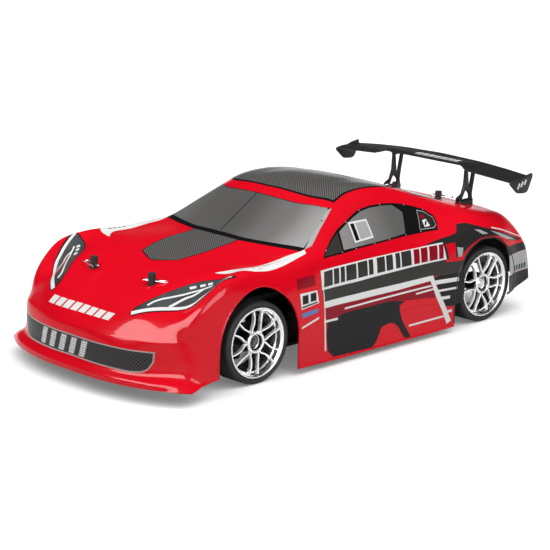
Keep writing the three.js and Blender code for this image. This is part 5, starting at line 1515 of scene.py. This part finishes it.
# %% Sky
world = bpy.data.worlds.new("studio")
world.use_nodes = True
bpy.context.scene.world = world
sky = world.node_tree
direction = sky.nodes.new("ShaderNodeTexCoord").outputs["Generated"]
height = add(sky, "ShaderNodeSeparateXYZ", {0: direction}).outputs["Z"]
backdrop = add(sky, "ShaderNodeMapRange", {"Value": height, "From Min": 0.02, "From Max": 0.16,
                                           "To Min": 1.0, "To Max": 0.015})
backdrop.interpolation_type = "SMOOTHSTEP"
ray = sky.nodes.new("ShaderNodeLightPath").outputs
seen = combined(sky, "MAXIMUM", ray["Is Camera Ray"], ray["Is Transmission Ray"])
mirror = combined(sky, "MULTIPLY", ray["Is Glossy Ray"], backdrop.outputs["Result"])
ambient = combined(sky, "MULTIPLY", ray["Is Diffuse Ray"], 0.3)
strength = combined(sky, "MAXIMUM", combined(sky, "MAXIMUM", seen, mirror), ambient)
feed(sky, sky.nodes["Background"], {"Strength": strength, "Color": (1, 1, 1, 1)})

# %% [markdown]
# A wide sun lights the car from above, as a bright ceiling would, and two small fills lift the near side and the
# nose. Two soft boxes are seen only in reflections: they draw the bright streaks on the hood and the flank.

# %% Lamps
def studio_lamp(name, kind, power):
    data = bpy.data.lights.new(name, kind)
    data.energy = power
    lamp = bpy.data.objects.new(name, data)
    bpy.context.scene.collection.objects.link(lamp)
    return lamp, data


ceiling, ceiling_data = studio_lamp("ceiling", "SUN", 2.5)
ceiling_data.angle = math.radians(110)
ceiling.rotation_euler = (math.radians(3), math.radians(7), 0)
ceiling.visible_glossy = False


FILL_SIZE = 0.5


def fill_lamp(name, at, aim, power):
    lamp, data = studio_lamp(name, "AREA", power)
    data.size = FILL_SIZE
    lamp.location = at
    lamp.rotation_euler = (Vector(aim) - Vector(at)).to_track_quat("-Z", "Y").to_euler()
    lamp.visible_glossy = False


fill_lamp("near_fill", (0.42, 0.02, 0.8), (0.06, 0, 0.08), 1.2)
fill_lamp("nose_fill", (-0.2, -1.3, 0.45), (0, -0.2, 0.04), 0.7)

BOX_DISTANCE = 2.2


def soft_box(name, azimuth, elevation, width, height, glow, lean):
    turn, rise = math.radians(azimuth), math.radians(elevation)
    way = Vector((math.sin(turn) * math.cos(rise), -math.cos(turn) * math.cos(rise), math.sin(rise)))
    lamp, data = studio_lamp(name, "AREA", glow * math.pi * width * height)
    data.shape = "RECTANGLE"
    data.size, data.size_y = width, height
    lamp.location = way * BOX_DISTANCE
    lamp.rotation_euler = (way.to_track_quat("Z", "Y") @ Quaternion((0, 0, 1), math.radians(lean))).to_euler()
    lamp.visible_diffuse = False


soft_box("front_box", 14, 36, 3.3, 1.3, 13, -12)
soft_box("side_box", 94, 19, 1.5, 0.65, 9, -4)

# %% [markdown]
# ## Camera
# A long lens looks from the front left corner, a little above the car, as the photograph does. Its place and its
# directions come from points of the photograph that were matched with the car.

# %% Camera
LENS, SENSOR = 130.8, 36
CAMERA_PLACE = (1.1336, -1.0952, 0.4564)
camera_data = bpy.data.cameras.new("camera")
camera_data.lens = LENS
camera_data.sensor_width = SENSOR
camera_data.dof.use_dof = False
camera = bpy.data.objects.new("camera", camera_data)
bpy.context.scene.collection.objects.link(camera)
right = Vector((0.6921, 0.7218, 0.0104)).normalized()
up = Vector((-0.1882, 0.1665, 0.9679))
back = right.cross(up).normalized()
up = back.cross(right).normalized()
camera.matrix_world = Matrix.Translation(CAMERA_PLACE) @ Matrix((right, up, back)).transposed().to_4x4()
bpy.context.scene.camera = camera
bpy.context.scene.view_settings.view_transform = "Standard"
